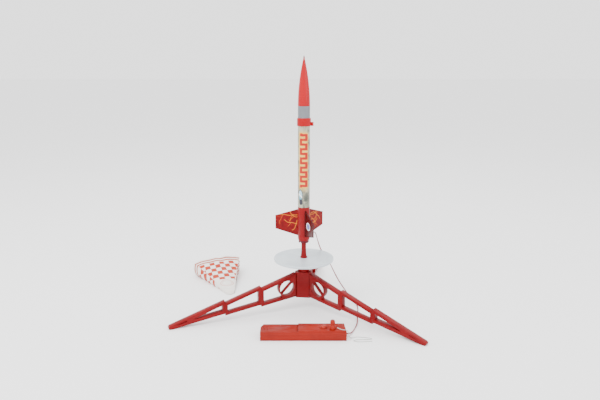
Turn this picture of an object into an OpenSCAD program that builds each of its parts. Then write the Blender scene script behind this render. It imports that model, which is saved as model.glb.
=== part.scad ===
// Model rocket on its three-legged launch pad, wired to a hand-held launch
// controller, with its folded parachute laid beside it.
// The origin is the point on the ground under the launch axis, +Z is up.

/* [Rocket] */
// Outside diameter of the card body tube
tube_d = 24.8; // [24:0.2:30]
// Wall of the card body tube
tube_wall = 0.5; // [0.4:0.1:0.8]
// Length of printed body tube that shows between fin can and lug ring
tube_h = 169; // [130:1:220]
// Length of the grey upper tube that shows under the nose
band_h = 24; // [20:1:40]
// Length of the nose cone above the tube
nose_h = 98.5; // [70:0.5:140]
// Length of the nose shoulder inside the upper tube
shoulder_h = 16; // [10:1:18]
// Wall of the moulded nose cone
nose_wall = 1.4; // [1:0.1:2]
// Height of the ring that carries the launch lug
ring_h = 16; // [12:1:24]
// Thickness of that ring around the tube
ring_wall = 1.75; // [1.2:0.05:3]
// Height of the launch lug
lug_h = 7.5; // [5:0.5:14]
// Bore of the launch lug, for a 3.2 mm launch rod
lug_bore_d = 4; // [3.6:0.1:5]

/* [Fin can] */
// Height of the fin can on the outside
can_h = 72; // [66:1:90]
// How far the fin can stands proud of the body tube
can_proud = 0.3; // [0.2:0.1:1]
// Wall of the fin can
can_wall = 1.7; // [1.4:0.1:2]
// Fin radius at the tip, from the rocket axis
fin_tip_r = 61.6; // [45:0.2:80]
// Fin chord at the root
fin_root_h = 58; // [50:1:64]
// Fin chord at the tip
fin_tip_h = 29; // [16:1:44]
// Thickness of a fin
fin_t = 2.4; // [1.6:0.1:3.2]
// Direction of the first fin, seen from above
fin_turn = 48.2; // [0:0.1:119]

/* [Engine] */
// Outside diameter of the engine
engine_d = 17.7; // [17:0.1:17.7]
// Length of the engine
engine_h = 70; // [56:1:72]
// Number of finger notches in the engine retainer
notches = 6; // [4:1:10]

/* [Launch pad] */
// Direction of the first leg, seen from above
leg_turn = 82.1; // [0:0.1:119]
// Reach of a leg from the launch axis
leg_reach = 293; // [240:1:360]
// Length of the inner leg section
inner_len = 78; // [70:1:90]
// Length of the middle leg section
middle_len = 78; // [60:1:100]
// Width of a leg
leg_w = 12; // [10:0.5:13]
// Depth of a leg rail
rail_d = 6.5; // [5:0.5:8]
// Skin of the moulded legs
leg_skin = 2; // [1.6:0.1:2.4]
// Height of the underside of the hub above the ground
hub_base = 27; // [20:1:40]
// Height of the hub itself
hub_h = 57; // [50:1:76]
// Height of the collar from the hub to the blast plate
collar_h = 28.5; // [18:0.5:40]
// Diameter of the blast plate
plate_d = 127; // [90:1:140]
// Thickness of the blast plate
plate_t = 1.4; // [0.8:0.1:2.5]
// Depth of the blast plate's turned-down rim
rim_h = 5; // [3:0.5:8]
// Height of the stand-off tube above the blast plate
standoff_h = 37; // [28:1:60]
// Diameter of the stand-off tube
standoff_d = 10.3; // [8:0.1:12]

/* [Launch controller] */
// Length of the controller
ctrl_l = 166; // [160:1:200]
// Depth of the controller, front to back
ctrl_w = 36; // [34:0.5:44]
// Height of the controller at its battery end
ctrl_h = 18; // [18:0.5:24]
// Wall of the controller
ctrl_wall = 1.6; // [1.4:0.1:1.8]
// Length of the sliding battery door
door_l = 70; // [40:1:76]
// Diameter of the launch button
button_d = 12; // [9:0.5:14]
// How far the launch button travels
button_travel = 2; // [1:0.5:2]
// Diameter of the safety key's barrel
key_d = 11; // [8:0.5:12]

/* [Parachute] */
// Length of the folded parachute from crown to hem
chute_l = 160; // [100:1:200]
// Height of the puffed hem
chute_h = 38; // [24:1:46]

/* [Hidden] */

$fn = 64;
hull_fn = 32;
eps = 0.01;
// Gap between pieces that are glued, plugged or laid together
seat = 0.1;
// Radial gap of a sliding or turning fit
run = 0.06;

// Heights along the launch axis
hub_top = hub_base + hub_h;
collar_top = hub_top + collar_h;
plate_z = collar_top + seat;
plate_top = plate_z + plate_t;
standoff_z = plate_top + seat;
standoff_top = standoff_z + standoff_h;
engine_z = standoff_top + 0.2;
lip_t = 1.2;
retainer_z = engine_z - 3.2;
can_z = engine_z + 1.8;
can_top = can_z + can_h;
ring_z = can_top + tube_h;
band_z = ring_z + ring_h;
nose_z = band_z + band_h;
tube_joint_z = ring_z + ring_h / 2;

// Radii of the rocket
tube_r = tube_d / 2;
tube_ir = tube_r - tube_wall;
can_r = tube_r + can_proud;
can_ir = can_r - can_wall;
ring_r = tube_r + seat + ring_wall;
engine_r = engine_d / 2;
motor_ir = engine_r + 0.15;
motor_r = motor_ir + 0.5;
motor_top = can_z + engine_h + 10;
casing_wall = 2.2;
plug_r = engine_r - casing_wall - 0.05;
nozzle_h = 12;
grain_h = engine_h - 28;
lug_r = lug_bore_d / 2;
lug_x = ring_r + lug_r + 0.4;
lug_wall = 0.9;
spigot_h = 15;
fin_root_z = can_z + 8.6;
fin_sweep = 16;
fin_slot = 0.7;
engine_turn = 85;

// Legs: angles, heights and slopes in the plane of a leg
leg_left = leg_turn + 120;
leg_right = leg_turn + 240;
leg_root_r = 20.2;
step_up = 5.5;
step_down = 4.2;
foot_h = 6.7;
heel = 6.5;
leg_root_top = hub_top - 2;
leg_root_bot = hub_base + 3;
top_slope = (leg_root_top + 2 * step_up - foot_h) / (leg_reach - 2.5 - leg_root_r);
bot_slope = (leg_root_bot + 2 * step_down) / (leg_reach - heel - leg_root_r);
step1_r = leg_root_r + inner_len;
step2_r = step1_r + middle_len;
end_bar = 5.5;
tongue_t = 5;
tongue_l = 4;
hub_corner_r = 6.5;
hub_corner_at = 13.5;
eye_at = 40;
eye_r = 16.3;
eye_ring = 3;

function leg_top(r, k) = leg_root_top + k * step_up - top_slope * (r - leg_root_r);
function leg_bot(r, k) = leg_root_bot + k * step_down - bot_slope * (r - leg_root_r);

// Rod holder and what stands in it
socket_r = 10;
socket_h = 28;
collar_r = 11.8;
stem_r = 2.5;
stem_l = 18;
rod_bore_r = 1.7;
foot_flange_r = 7.6;
foot_flange_h = 3;

// Controller: its place, inner height and what sits in it
ctrl_x = -1.5;
ctrl_y = -144;
panel_h = 2;
base_h = 10;
bay_z = ctrl_wall + 0.1;
cell_d = 14.2;
cell_l = 49.5;
cell_gap = 1.2;
cell_pitch = cell_l + cell_gap;
cell_x = -ctrl_l / 2 + 10.4;
door_t = 1.5;
door_gap = 0.15;
door_lip = 0.5;
door_half = ctrl_w / 2 - 1.7;
bay_half = cell_d + 0.8;
board_z = 6.4;
board_t = 1.4;
spring_z = board_z + board_t + 0.1;
boss_r = 3;
screw_r = 1.4;
screw_places = [for (x = [34, ctrl_l / 2 - 6], y = [-ctrl_w / 2 + 5, ctrl_w / 2 - 5]) [x, y]];
panel_x = -ctrl_l / 2 + door_l + 3;
button_x = 39;
button_y = -1.5;
key_x = 56;
key_y = -8.5;
key_z = ctrl_h + panel_h;
key_stem_r = 3;
key_foot = spring_z + 0.3;
key_eye_r = 1.9;

// Parachute: place of its crown and the spread of its gore
chute_x = -166;
chute_y = 70;
chute_turn = 108;
gore = 36;

// Lead from the clips at the nozzle to the controller, chosen by hand
lead_d = 2.4;
lead_route = [[2.1, 23.6, 146], [2.6, 26, 146.8], [5, 27.5, 150], [10, 25, 155.5], [15, 19, 160.5],
    [19.5, 13.5, 165], [22.5, 11, 166.5], [25, 14, 164], [27, 20, 157], [29, 28, 148],
    [33, 41, 132], [39, 56, 113], [48, 50, 101], [58, 39, 87], [67, 31, 70], [78, 27, 50],
    [90, 25, 32], [102, 22, 16], [111, 17, 6], [116, 8, 2.2], [117, -6, 1.4], [116, -22, 1.4],
    [114, -40, 1.4], [112, -58, 1.4], [110, -76, 1.4], [107, -92, 1.4], [102, -108, 1.4],
    [97, -122, 1.8], [92, -134, 3.5], [88, -140, 5.5], [84.5, -142.5, 6]];
// Cord of the safety key, chosen by hand
string_d = 1.2;
string_route = [[63.2, -152.5, 23.4], [66.5, -153.5, 21.8], [71, -155.5, 21], [76, -157.5, 20.8],
    [81, -158, 20.8], [84, -157.5, 17], [86, -156, 9.5], [88.5, -154, 3.5], [94, -150, 0.8],
    [104, -146.5, 0.7], [116, -148.5, 0.7], [126, -151, 0.7], [130, -154, 0.7],
    [126, -157, 0.7], [114, -157, 0.7], [102, -158, 0.7], [95, -161, 0.7], [98, -165, 0.7],
    [106, -167, 0.7], [118, -166, 0.7], [130, -165, 0.7]];

// ---------- Shared shapes ----------

function unit(v) = v / norm(v);

// A smooth curve through the points of a route, with steps places per span
function curve_point(a, b, c, d, t) = 0.5 * ((2 * b) + (c - a) * t
    + (2 * a - 5 * b + 4 * c - d) * t * t + (3 * b - a - 3 * c + d) * t * t * t);
function smooth(p, steps) = let (n = len(p)) concat([for (i = [0 : n - 2], s = [0 : steps - 1])
    curve_point(p[max(i - 1, 0)], p[i], p[i + 1], p[min(i + 2, n - 1)], s / steps)], [p[n - 1]]);
function tangent(p, i) = unit(p[min(i + 1, len(p) - 1)] - p[max(i - 1, 0)]);
// Side vectors carried along the curve without twist
function sides(p) = [for (i = 0, n = unit(cross(tangent(p, 0), [0.3, 0.2, 1]));
    i < len(p);
    i = i + 1, n = i < len(p) ? unit(n - (n * tangent(p, i)) * tangent(p, i)) : n) n];
function ring(c, side, t, r, count) = [for (k = [0 : count - 1]) c
    + r * cos(360 * k / count) * side + r * sin(360 * k / count) * cross(t, side)];

module cord(route, d, steps, count = 8) {
    path = smooth(route, steps);
    side = sides(path);
    last = (len(path) - 1) * count;
    polyhedron(
        points = [for (i = [0 : len(path) - 1])
            each ring(path[i], side[i], tangent(path, i), d / 2, count)],
        faces = concat([[for (k = [0 : count - 1]) k]],
            [for (i = [0 : len(path) - 2], k = [0 : count - 1]) [i * count + k,
                (i + 1) * count + k, (i + 1) * count + (k + 1) % count, i * count + (k + 1) % count]],
            [[for (k = [count - 1 : -1 : 0]) last + k]]));
}

module tube(r, ri, z, h) {
    translate([0, 0, z]) difference() {
        cylinder(r = r, h = h);
        translate([0, 0, -1]) cylinder(r = ri, h = h + 2);
    }
}

// A round wire through a few corner points
module wire(points, r) {
    for (i = [0 : len(points) - 2]) {
        run_v = points[i + 1] - points[i];
        translate(points[i])
            rotate([0, acos(run_v[2] / norm(run_v)), atan2(run_v[1], run_v[0])])
                cylinder(r = r, h = norm(run_v), $fn = 24);
        translate(points[i + 1]) sphere(r = r, $fn = 24);
    }
}

// Turns a shape drawn as radius and height into the upright plane of a leg or fin
module upright(turn, thick) {
    rotate([0, 0, turn]) rotate([90, 0, 0]) linear_extrude(height = thick, center = true)
        children();
}

// ---------- Launch pad ----------

// Outline of the hub: three round corners joined by flat faces
module hub_outline() {
    flat = hub_corner_r;
    polygon([for (k = [0 : 2], s = [-1, 1]) let (a = leg_turn + 120 * k)
        [hub_corner_at * cos(a) + flat * cos(a + s * 60),
         hub_corner_at * sin(a) + flat * sin(a + s * 60)]]);
    for (k = [0 : 2]) rotate([0, 0, leg_turn + 120 * k])
        translate([hub_corner_at, 0]) circle(r = hub_corner_r);
}

module hub() {
    roof = 3;
    color([0.75, 0.02, 0.07]) difference() {
        translate([0, 0, hub_base]) linear_extrude(height = hub_h) hub_outline();
        translate([0, 0, hub_top - socket_h]) cylinder(r = socket_r, h = socket_h + 1);
        translate([0, 0, hub_base - 1])
            cylinder(r = socket_r, h = hub_h - socket_h - roof + 1);
        for (k = [0 : 2]) upright(leg_turn + 120 * k, tongue_t + 2 * seat)
            leg_root_tongue(seat);
    }
}

// Tongue that plugs a leg into the hub, grown by gap for its slot
module leg_root_tongue(gap) {
    tip_r = leg_root_r - tongue_l - gap;
    polygon([[tip_r, leg_root_bot + 8 - gap], [leg_root_r + 1, leg_root_bot + 8 - gap],
        [leg_root_r + 1, leg_root_top - 8 + gap], [tip_r, leg_root_top - 8 + gap]]);
}

module rod_holder() {
    color([0.8, 0.04, 0.09]) difference() {
        union() {
            translate([0, 0, hub_top - socket_h + 2])
                cylinder(r = socket_r - seat, h = socket_h);
            translate([0, 0, hub_top + seat]) cylinder(r = collar_r, h = collar_h - seat);
        }
        translate([0, 0, standoff_z - stem_l - 1])
            cylinder(r = stem_r + seat, h = stem_l + 2, $fn = 48);
        translate([0, 0, hub_top - socket_h]) cylinder(r = rod_bore_r, h = 80, $fn = 48);
    }
}

module standoff() {
    flare_h = 14;
    color([0.8, 0.04, 0.09]) difference() {
        union() {
            translate([0, 0, standoff_z]) rotate_extrude() polygon([[0, 0],
                [foot_flange_r, 0], [foot_flange_r, foot_flange_h - 1.2],
                [foot_flange_r - 0.6, foot_flange_h - 0.4], [standoff_d / 2 + 1, foot_flange_h],
                [standoff_d / 2, flare_h], [standoff_d / 2, standoff_h], [0, standoff_h]]);
            translate([0, 0, standoff_z - stem_l]) cylinder(r = stem_r, h = stem_l + 1, $fn = 48);
        }
        translate([0, 0, standoff_z - stem_l - 1])
            cylinder(r = rod_bore_r, h = stem_l + standoff_h + 2, $fn = 48);
        rotate([0, 0, engine_turn]) translate([0, -1.6, standoff_top - 4.5]) cube([12, 3.2, 6]);
    }
}

// Outline of one leg section between two radii, k steps out from the hub
module leg_outline(r0, r1, k) {
    polygon([[r0, leg_top(r0, k)], [r1, leg_top(r1, k)], [r1, leg_bot(r1, k)],
        [r0, leg_bot(r0, k)]]);
}

module leg_window(r0, r1, k) {
    polygon([[r0, leg_top(r0, k) - rail_d], [r1, leg_top(r1, k) - rail_d],
        [r1, leg_bot(r1, k) + rail_d], [r0, leg_bot(r0, k) + rail_d]]);
}

// Hollow under the top and bottom rails of a leg section
module rail_channels(r0, r1, k) {
    deep = rail_d - leg_skin;
    polygon([[r0, leg_top(r0, k) - leg_skin], [r1, leg_top(r1, k) - leg_skin],
        [r1, leg_top(r1, k) - rail_d - eps], [r0, leg_top(r0, k) - rail_d - eps]]);
    polygon([[r0, leg_bot(r0, k) + deep], [r1, leg_bot(r1, k) + deep],
        [r1, leg_bot(r1, k) - 1], [r0, leg_bot(r0, k) - 1]]);
}

// Tongue at the outer end of section k, grown by gap for its slot
module leg_tongue(r, k, gap) {
    mid = (leg_top(r, k) + leg_bot(r, k)) / 2;
    polygon([[r - 1, mid - 6 - gap], [r + tongue_l + gap, mid - 6 - gap],
        [r + tongue_l + gap, mid + 6 + gap], [r - 1, mid + 6 + gap]]);
}

module leg_inner(turn) {
    r0 = leg_root_r;
    r1 = step1_r - seat;
    win0 = eye_at + eye_r + eye_ring - 8;
    eye_z = (leg_top(eye_at, 0) + leg_bot(eye_at, 0)) / 2;
    color([0.75, 0.02, 0.07]) {
        difference() {
            upright(turn, leg_w) difference() {
                leg_outline(r0, r1, 0);
                translate([eye_at, eye_z]) circle(r = eye_r);
                difference() {
                    leg_window(win0, r1 - end_bar, 0);
                    translate([eye_at, eye_z]) circle(r = eye_r + eye_ring);
                }
            }
            upright(turn, leg_w - 2 * leg_skin)
                rail_channels(eye_at + eye_r + eye_ring + 2, r1 - end_bar, 0);
        }
        upright(turn, tongue_t) leg_root_tongue(0);
        upright(turn, tongue_t) leg_tongue(r1, 0, 0);
        // Straight brace across the eye
        upright(turn, 5) intersection() {
            translate([eye_at, eye_z]) rotate(-45) square([2 * eye_r + 2, 4.5], center = true);
            translate([eye_at, eye_z]) circle(r = eye_r + 1);
        }
    }
}

module leg_middle(turn) {
    r0 = step1_r;
    r1 = step2_r - seat;
    color([0.75, 0.02, 0.07]) difference() {
        union() {
            upright(turn, leg_w) difference() {
                leg_outline(r0, r1, 1);
                leg_window(r0 + end_bar, r1 - end_bar, 1);
            }
            upright(turn, tongue_t) leg_tongue(r1, 1, 0);
        }
        upright(turn, leg_w - 2 * leg_skin) rail_channels(r0 + end_bar, r1 - end_bar, 1);
        upright(turn, tongue_t + 2 * seat) leg_tongue(step1_r - seat, 0, seat);
    }
}

module leg_tip(turn) {
    r0 = step2_r;
    apex = leg_reach - 53;
    slit = leg_reach - 37;
    heel_r = leg_reach - heel;
    color([0.75, 0.02, 0.07]) difference() {
        upright(turn, leg_w) difference() {
            polygon([[r0, leg_top(r0, 2)], [leg_reach - 3, leg_top(leg_reach - 3, 2)],
                [leg_reach - 0.8, foot_h - 1.4], [leg_reach, foot_h - 3.6], [leg_reach - 1, 1],
                [leg_reach - 2.5, 0], [heel_r, 0], [r0, leg_bot(r0, 2)]]);
            polygon([[r0 + end_bar, leg_top(r0 + end_bar, 2) - rail_d],
                [apex, (leg_top(apex, 2) + leg_bot(apex, 2)) / 2 + 0.6],
                [apex, (leg_top(apex, 2) + leg_bot(apex, 2)) / 2 - 0.6],
                [r0 + end_bar, leg_bot(r0 + end_bar, 2) + rail_d + 1]]);
            polygon([[slit, leg_top(slit, 2) - 4], [slit + 21, leg_top(slit + 21, 2) - 3.2],
                [slit + 21, leg_top(slit + 21, 2) - 4], [slit, leg_top(slit, 2) - 6]]);
        }
        upright(turn, leg_w - 2 * leg_skin) polygon([[r0 + end_bar, leg_bot(r0 + end_bar, 2) + 4],
            [heel_r - 16, leg_bot(heel_r - 16, 2) + 2.5], [heel_r - 16, leg_bot(heel_r - 16, 2) - 1],
            [r0 + end_bar, leg_bot(r0 + end_bar, 2) - 1]]);
        upright(turn, tongue_t + 2 * seat) leg_tongue(step2_r - seat, 1, seat);
    }
}

module blast_plate() {
    r = plate_d / 2;
    color([0.8, 0.84, 0.87]) translate([0, 0, plate_z]) rotate_extrude($fn = 96)
        polygon([[stem_r + run, 0], [r - 1.3, 0], [r - 1.3, plate_t - rim_h],
            [r - 0.3, plate_t - rim_h], [r, plate_t - rim_h + 0.3], [r, plate_t - 0.7],
            [r - 0.7, plate_t], [stem_r + run, plate_t]]);
}

// ---------- Rocket airframe ----------

module body_tube() {
    color([0.9, 0.88, 0.8])
        tube(tube_r, tube_ir, can_top + seat, tube_joint_z - can_top - 2 * seat);
}

module upper_tube() {
    color([0.6, 0.62, 0.66]) tube(tube_r, tube_ir, tube_joint_z, nose_z - seat - tube_joint_z);
}

module tube_coupler() {
    wall = 0.5;
    half = ring_h / 2 - 1;
    color([0.75, 0.68, 0.52])
        tube(tube_ir - 0.03, tube_ir - 0.03 - wall, tube_joint_z - half, 2 * half);
}

module lug_ring() {
    bevel = 1.3;
    color([0.85, 0.07, 0.1]) difference() {
        union() {
            translate([0, 0, ring_z]) rotate_extrude() polygon([[tube_r + 0.03, 0],
                [ring_r - 0.4, 0], [ring_r, 0.4], [ring_r, ring_h - bevel],
                [ring_r - bevel, ring_h], [tube_r + 0.03, ring_h]]);
            translate([lug_x, 0, ring_z]) cylinder(r = lug_r + lug_wall, h = lug_h, $fn = 48);
            translate([ring_r - 1, -2, ring_z]) cube([lug_x - ring_r, 4, lug_h]);
        }
        translate([lug_x, 0, ring_z - 1]) cylinder(r = lug_r, h = lug_h + 2, $fn = 48);
    }
}

// Ogive outline of the nose: radius at a height above the tube
function ogive_r(z, r, h) = let (big = (h * h + r * r) / (2 * r)) sqrt(big * big - z * z) + r - big;

module nose_cone() {
    steps = 18;
    tip = 0.94;
    blunt = ogive_r(tip * nose_h, tube_r, nose_h);
    inner_h = nose_h - 12;
    inner_r = tube_r - nose_wall;
    shoulder_r = tube_ir - run;
    color([0.85, 0.07, 0.1]) translate([0, 0, nose_z]) rotate_extrude() difference() {
        union() {
            polygon(concat([[0, 0]],
                [for (i = [0 : steps]) let (z = tip * nose_h * i / steps)
                    [ogive_r(z, tube_r, nose_h), z]],
                [for (i = [1 : 4]) let (a = 90 * i / 4)
                    [blunt * cos(a), tip * nose_h + (1 - tip) * nose_h * sin(a)]]));
            translate([0, -shoulder_h]) square([shoulder_r, shoulder_h + eps]);
        }
        translate([0, -shoulder_h - 1]) square([shoulder_r - nose_wall, shoulder_h + 1 + eps]);
        polygon(concat([[0, 0]], [for (i = [0 : steps]) let (z = inner_h * i / steps)
            [min(ogive_r(z, inner_r, inner_h), shoulder_r - nose_wall), z]]));
    }
}

module nose_base() {
    disc_r = tube_ir - run - nose_wall - seat;
    z = nose_z - shoulder_h;
    color([0.85, 0.07, 0.1]) {
        translate([0, 0, z + 0.5]) cylinder(r = disc_r, h = 2);
        translate([0, 0, z + 0.5]) rotate([90, 0, 0]) rotate_extrude($fn = 32)
            translate([3, 0]) circle(r = 0.8, $fn = 16);
    }
}

module fin_outline() {
    root_r = can_r - fin_slot + 0.05;
    polygon([[root_r, fin_root_z], [root_r, fin_root_z + fin_root_h],
        [fin_tip_r, fin_root_z + fin_root_h - fin_sweep],
        [fin_tip_r, fin_root_z + fin_root_h - fin_sweep - fin_tip_h]]);
}

module fin_can() {
    taper_h = 8;
    color([0.85, 0.07, 0.1]) difference() {
        rotate_extrude() polygon([[can_ir, can_z], [can_r - 1.1, can_z], [can_r, can_z + taper_h],
            [can_r, can_top], [tube_ir - 0.03, can_top], [tube_ir - 0.03, can_top + spigot_h],
            [can_ir, can_top + spigot_h]]);
        for (k = [0 : 2]) rotate([0, 0, fin_turn + 120 * k])
            translate([can_r - fin_slot, -fin_t / 2 - 0.05, fin_root_z - 0.05])
                cube([4, fin_t + 0.1, fin_root_h + 0.1]);
    }
}

module fin(turn) {
    color([0.78, 0.05, 0.08]) upright(turn, fin_t) fin_outline();
}

module motor_tube() {
    color([0.8, 0.72, 0.55]) tube(motor_r, motor_ir, can_z + 6, motor_top - can_z - 6);
}

module centering_rings() {
    gap = 0.05;
    card = 3;
    color([0.78, 0.7, 0.52]) {
        tube(can_ir - gap, motor_r + gap, can_z + 8, card);
        tube(can_ir - gap, motor_r + gap, motor_top - 12, card);
    }
}

module thrust_ring() {
    color([0.45, 0.55, 0.35]) tube(motor_ir - 0.05, motor_ir - 2.6, engine_z + engine_h + seat, 3);
}

// ---------- Engine ----------

module engine_casing() {
    color([0.72, 0.6, 0.42]) tube(engine_r, engine_r - casing_wall, engine_z, engine_h);
}

module engine_nozzle() {
    color([0.7, 0.66, 0.6]) translate([0, 0, engine_z]) rotate_extrude($fn = 48)
        polygon([[4, 0.6], [plug_r, 0.6], [plug_r, nozzle_h], [1.6, nozzle_h], [1.6, 6]]);
}

module engine_grain() {
    color([0.2, 0.2, 0.2]) translate([0, 0, engine_z + nozzle_h + seat])
        cylinder(r = plug_r, h = grain_h);
}

module engine_cap() {
    color([0.7, 0.66, 0.6]) translate([0, 0, engine_z + nozzle_h + grain_h + 2 * seat])
        cylinder(r = plug_r, h = 6);
}

module engine_retainer() {
    sleeve_r = can_ir - run;
    tooth_h = 2;
    lip_r = engine_r - 0.85;
    color([0.32, 0.02, 0.04]) difference() {
        rotate_extrude() polygon([[lip_r, retainer_z], [sleeve_r, retainer_z],
            [sleeve_r, can_z + 4.5], [engine_r + 0.6, can_z + 4.5], [engine_r + 0.6, engine_z - 0.2],
            [lip_r, engine_z - 0.2 - lip_t]]);
        for (k = [0 : notches - 1]) rotate([0, 0, 360 * (k + 0.5) / notches + 12])
            translate([lip_r - 2, -2.4, retainer_z - 1]) cube([8, 4.8, tooth_h + 1]);
    }
}

// Two bare wires from the nozzle to the clips
module igniter() {
    color([0.75, 0.5, 0.3]) rotate([0, 0, engine_turn]) for (s = [-1, 1])
        wire([[0.6, s * 0.5, engine_z + 9], [0.6, s * 0.5, engine_z - 1.6],
            [5.9, s * 0.9, engine_z - 2.6], [6.5, s * 1.8, engine_z - 5],
            [9.5, s * 2.2, engine_z - 5.2], [14, s * 2.2, engine_z - 5.2]], 0.28);
}

module igniter_plug() {
    color([0.2, 0.35, 0.75]) difference() {
        translate([0, 0, engine_z + 0.9]) cylinder(r1 = 3, r2 = 1.5, h = 5, $fn = 32);
        rotate([0, 0, engine_turn]) translate([0.6, 0, engine_z])
            cube([0.8, 1.9, 20], center = true);
    }
}

module shock_cord() {
    color([0.93, 0.9, 0.82]) translate([0, 0, can_top + spigot_h + 12])
        linear_extrude(height = 42) {
            square([10, 6], center = true);
            for (s = [-5, 5]) translate([s, 0]) circle(r = 3);
        }
}

module recovery_wadding() {
    color([0.85, 0.8, 0.65]) translate([0, 0, can_top + spigot_h + 1])
        cylinder(r = tube_ir - 0.6, h = 9);
}

// ---------- Ignition lead ----------

module clip_jaws() {
    color([0.8, 0.7, 0.4]) rotate([0, 0, engine_turn]) for (s = [-1, 1]) {
        for (side = [-1, 1]) translate([13.5, s * 2.2 + side * 0.9, engine_z - 5.2])
            cube([7, 0.5, 2.2], center = true);
        translate([16.5, s * 2.2, engine_z - 5.2]) rotate([0, 90, 0])
            cylinder(r = 1.3, h = 4.5, $fn = 24);
    }
}

module clip_boot() {
    color([0.7, 0.05, 0.1]) rotate([0, 0, engine_turn]) translate([21.05, 0, engine_z - 5.2])
        rotate([0, 90, 0]) linear_extrude(height = 2.4) {
            square([2.8, 4.6], center = true);
            for (s = [-2.3, 2.3]) translate([0, s]) circle(r = 1.4, $fn = 24);
        }
}

module lead_wire() {
    color([0.7, 0.12, 0.2]) cord(lead_route, lead_d, 2);
}

module lead_grommet() {
    end = lead_route[len(lead_route) - 1];
    into_wall = 5.5;
    color([0.55, 0.05, 0.08]) translate(end) rotate([0, -90, 0])
        cylinder(r1 = 1.3, r2 = 2.4, h = into_wall, $fn = 32);
}

// ---------- Launch controller ----------

// Plan outline: square front, tapered ends, cut left rear corner
module ctrl_outline(inset = 0) {
    x = ctrl_l / 2 - inset;
    y = ctrl_w / 2 - inset;
    polygon([[-x, -y], [x, -y], [x - 2.5, y], [-x + 5, y], [-x, y - 12]]);
}

module at_controller(z = 0) {
    translate([ctrl_x, ctrl_y, z]) children();
}

module controller_base() {
    color([0.78, 0.2, 0.13]) at_controller() difference() {
        union() {
            difference() {
                linear_extrude(height = base_h) ctrl_outline();
                translate([0, 0, ctrl_wall]) linear_extrude(height = base_h)
                    ctrl_outline(ctrl_wall);
            }
            for (p = screw_places) translate([p[0], p[1], 0])
                cylinder(r = boss_r, h = base_h, $fn = 32);
        }
        for (p = screw_places) translate([p[0], p[1], -1])
            cylinder(r = screw_r + seat, h = base_h + 2, $fn = 24);
    }
}

module controller_cover() {
    hole_r = button_d / 2 + 0.15;
    skin = ctrl_wall;
    lip = door_lip;
    color([0.8, 0.22, 0.14]) at_controller() difference() {
        union() {
            translate([0, 0, base_h + seat]) linear_extrude(height = ctrl_h - base_h - seat)
                ctrl_outline();
            translate([0, 0, ctrl_h - eps]) intersection() {
                linear_extrude(height = panel_h + eps) ctrl_outline(0.6);
                translate([panel_x, -ctrl_w, -1]) cube([ctrl_l, 2 * ctrl_w, 5]);
            }
        }
        // Hollow inside, under the raised panel and under the battery door
        translate([0, 0, base_h - 1]) intersection() {
            linear_extrude(height = ctrl_h - base_h + 1 + panel_h - skin) ctrl_outline(skin);
            translate([panel_x - lip - eps, -ctrl_w, -1]) cube([ctrl_l, 2 * ctrl_w, 50]);
        }
        intersection() {
            linear_extrude(height = ctrl_h + 1) ctrl_outline(skin);
            translate([-ctrl_l, -bay_half, 0]) cube([ctrl_l + panel_x - lip, 2 * bay_half, 50]);
        }
        // Way for the battery door, open at the battery end
        translate([-ctrl_l, -door_half - door_gap, ctrl_h - door_t - door_gap])
            cube([ctrl_l + panel_x - lip, 2 * (door_half + door_gap), 10]);
        translate([button_x, button_y, 0]) cylinder(r = hole_r, h = 50);
        translate([key_x, key_y, 0]) cylinder(r = key_stem_r + run, h = 50, $fn = 48);
    }
}

module battery_door() {
    grip = 3;
    x0 = -ctrl_l / 2;
    x1 = panel_x - door_lip - door_gap;
    color([0.78, 0.2, 0.13]) at_controller() difference() {
        intersection() {
            translate([x0, -door_half, ctrl_h - door_t]) cube([x1 - x0, 2 * door_half, door_t]);
            linear_extrude(height = ctrl_h) ctrl_outline();
        }
        for (i = [0 : 3]) translate([x0 + 5 + i * grip, -9, ctrl_h - 0.5]) cube([1.2, 18, 2]);
    }
}

module controller_screws() {
    color([0.7, 0.7, 0.72]) at_controller() for (p = screw_places) translate([p[0], p[1], 0.3])
        cylinder(r = screw_r, h = base_h - 1, $fn = 24);
}

module batteries() {
    nub = cell_gap - 0.4;
    color([0.2, 0.2, 0.22]) at_controller(bay_z + cell_d / 2) for (row = [-1, 1], k = [0, 1])
        translate([cell_x + k * cell_pitch, row * (cell_d / 2 + 0.4), 0])
            rotate([0, 90, 0]) {
                cylinder(r = cell_d / 2, h = cell_l);
                translate([0, 0, cell_l - eps]) cylinder(r = 2.7, h = nub + eps, $fn = 32);
            }
}

module battery_springs() {
    color([0.75, 0.75, 0.78]) at_controller(bay_z + cell_d / 2) for (row = [-1, 1])
        translate([cell_x - 0.2, row * (cell_d / 2 + 0.4), 0]) rotate([0, -90, 0])
            cylinder(r1 = 2.5, r2 = 4.2, h = 4, $fn = 32);
}

module battery_plates() {
    x = cell_x + 2 * cell_pitch + 0.3;
    color([0.8, 0.72, 0.45]) at_controller(bay_z) for (row = [-1, 1])
        translate([x, row * (cell_d / 2 + 0.4) - 5, 0.2]) cube([0.5, 10, 12]);
}

module switch_board() {
    x = cell_x + 2 * cell_pitch + 4;
    half = ctrl_w / 2 - 5 - boss_r - 0.4;
    color([0.6, 0.45, 0.25]) at_controller(board_z)
        translate([x, -half, 0]) cube([ctrl_l / 2 - 4.5 - x, 2 * half, board_t]);
}

module lamp() {
    color([0.95, 0.9, 0.7]) at_controller() translate([button_x + 15, 5, spring_z]) {
        cylinder(r = 1.6, h = 4, $fn = 32);
        translate([0, 0, 4]) sphere(r = 1.6, $fn = 32);
    }
}

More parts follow.
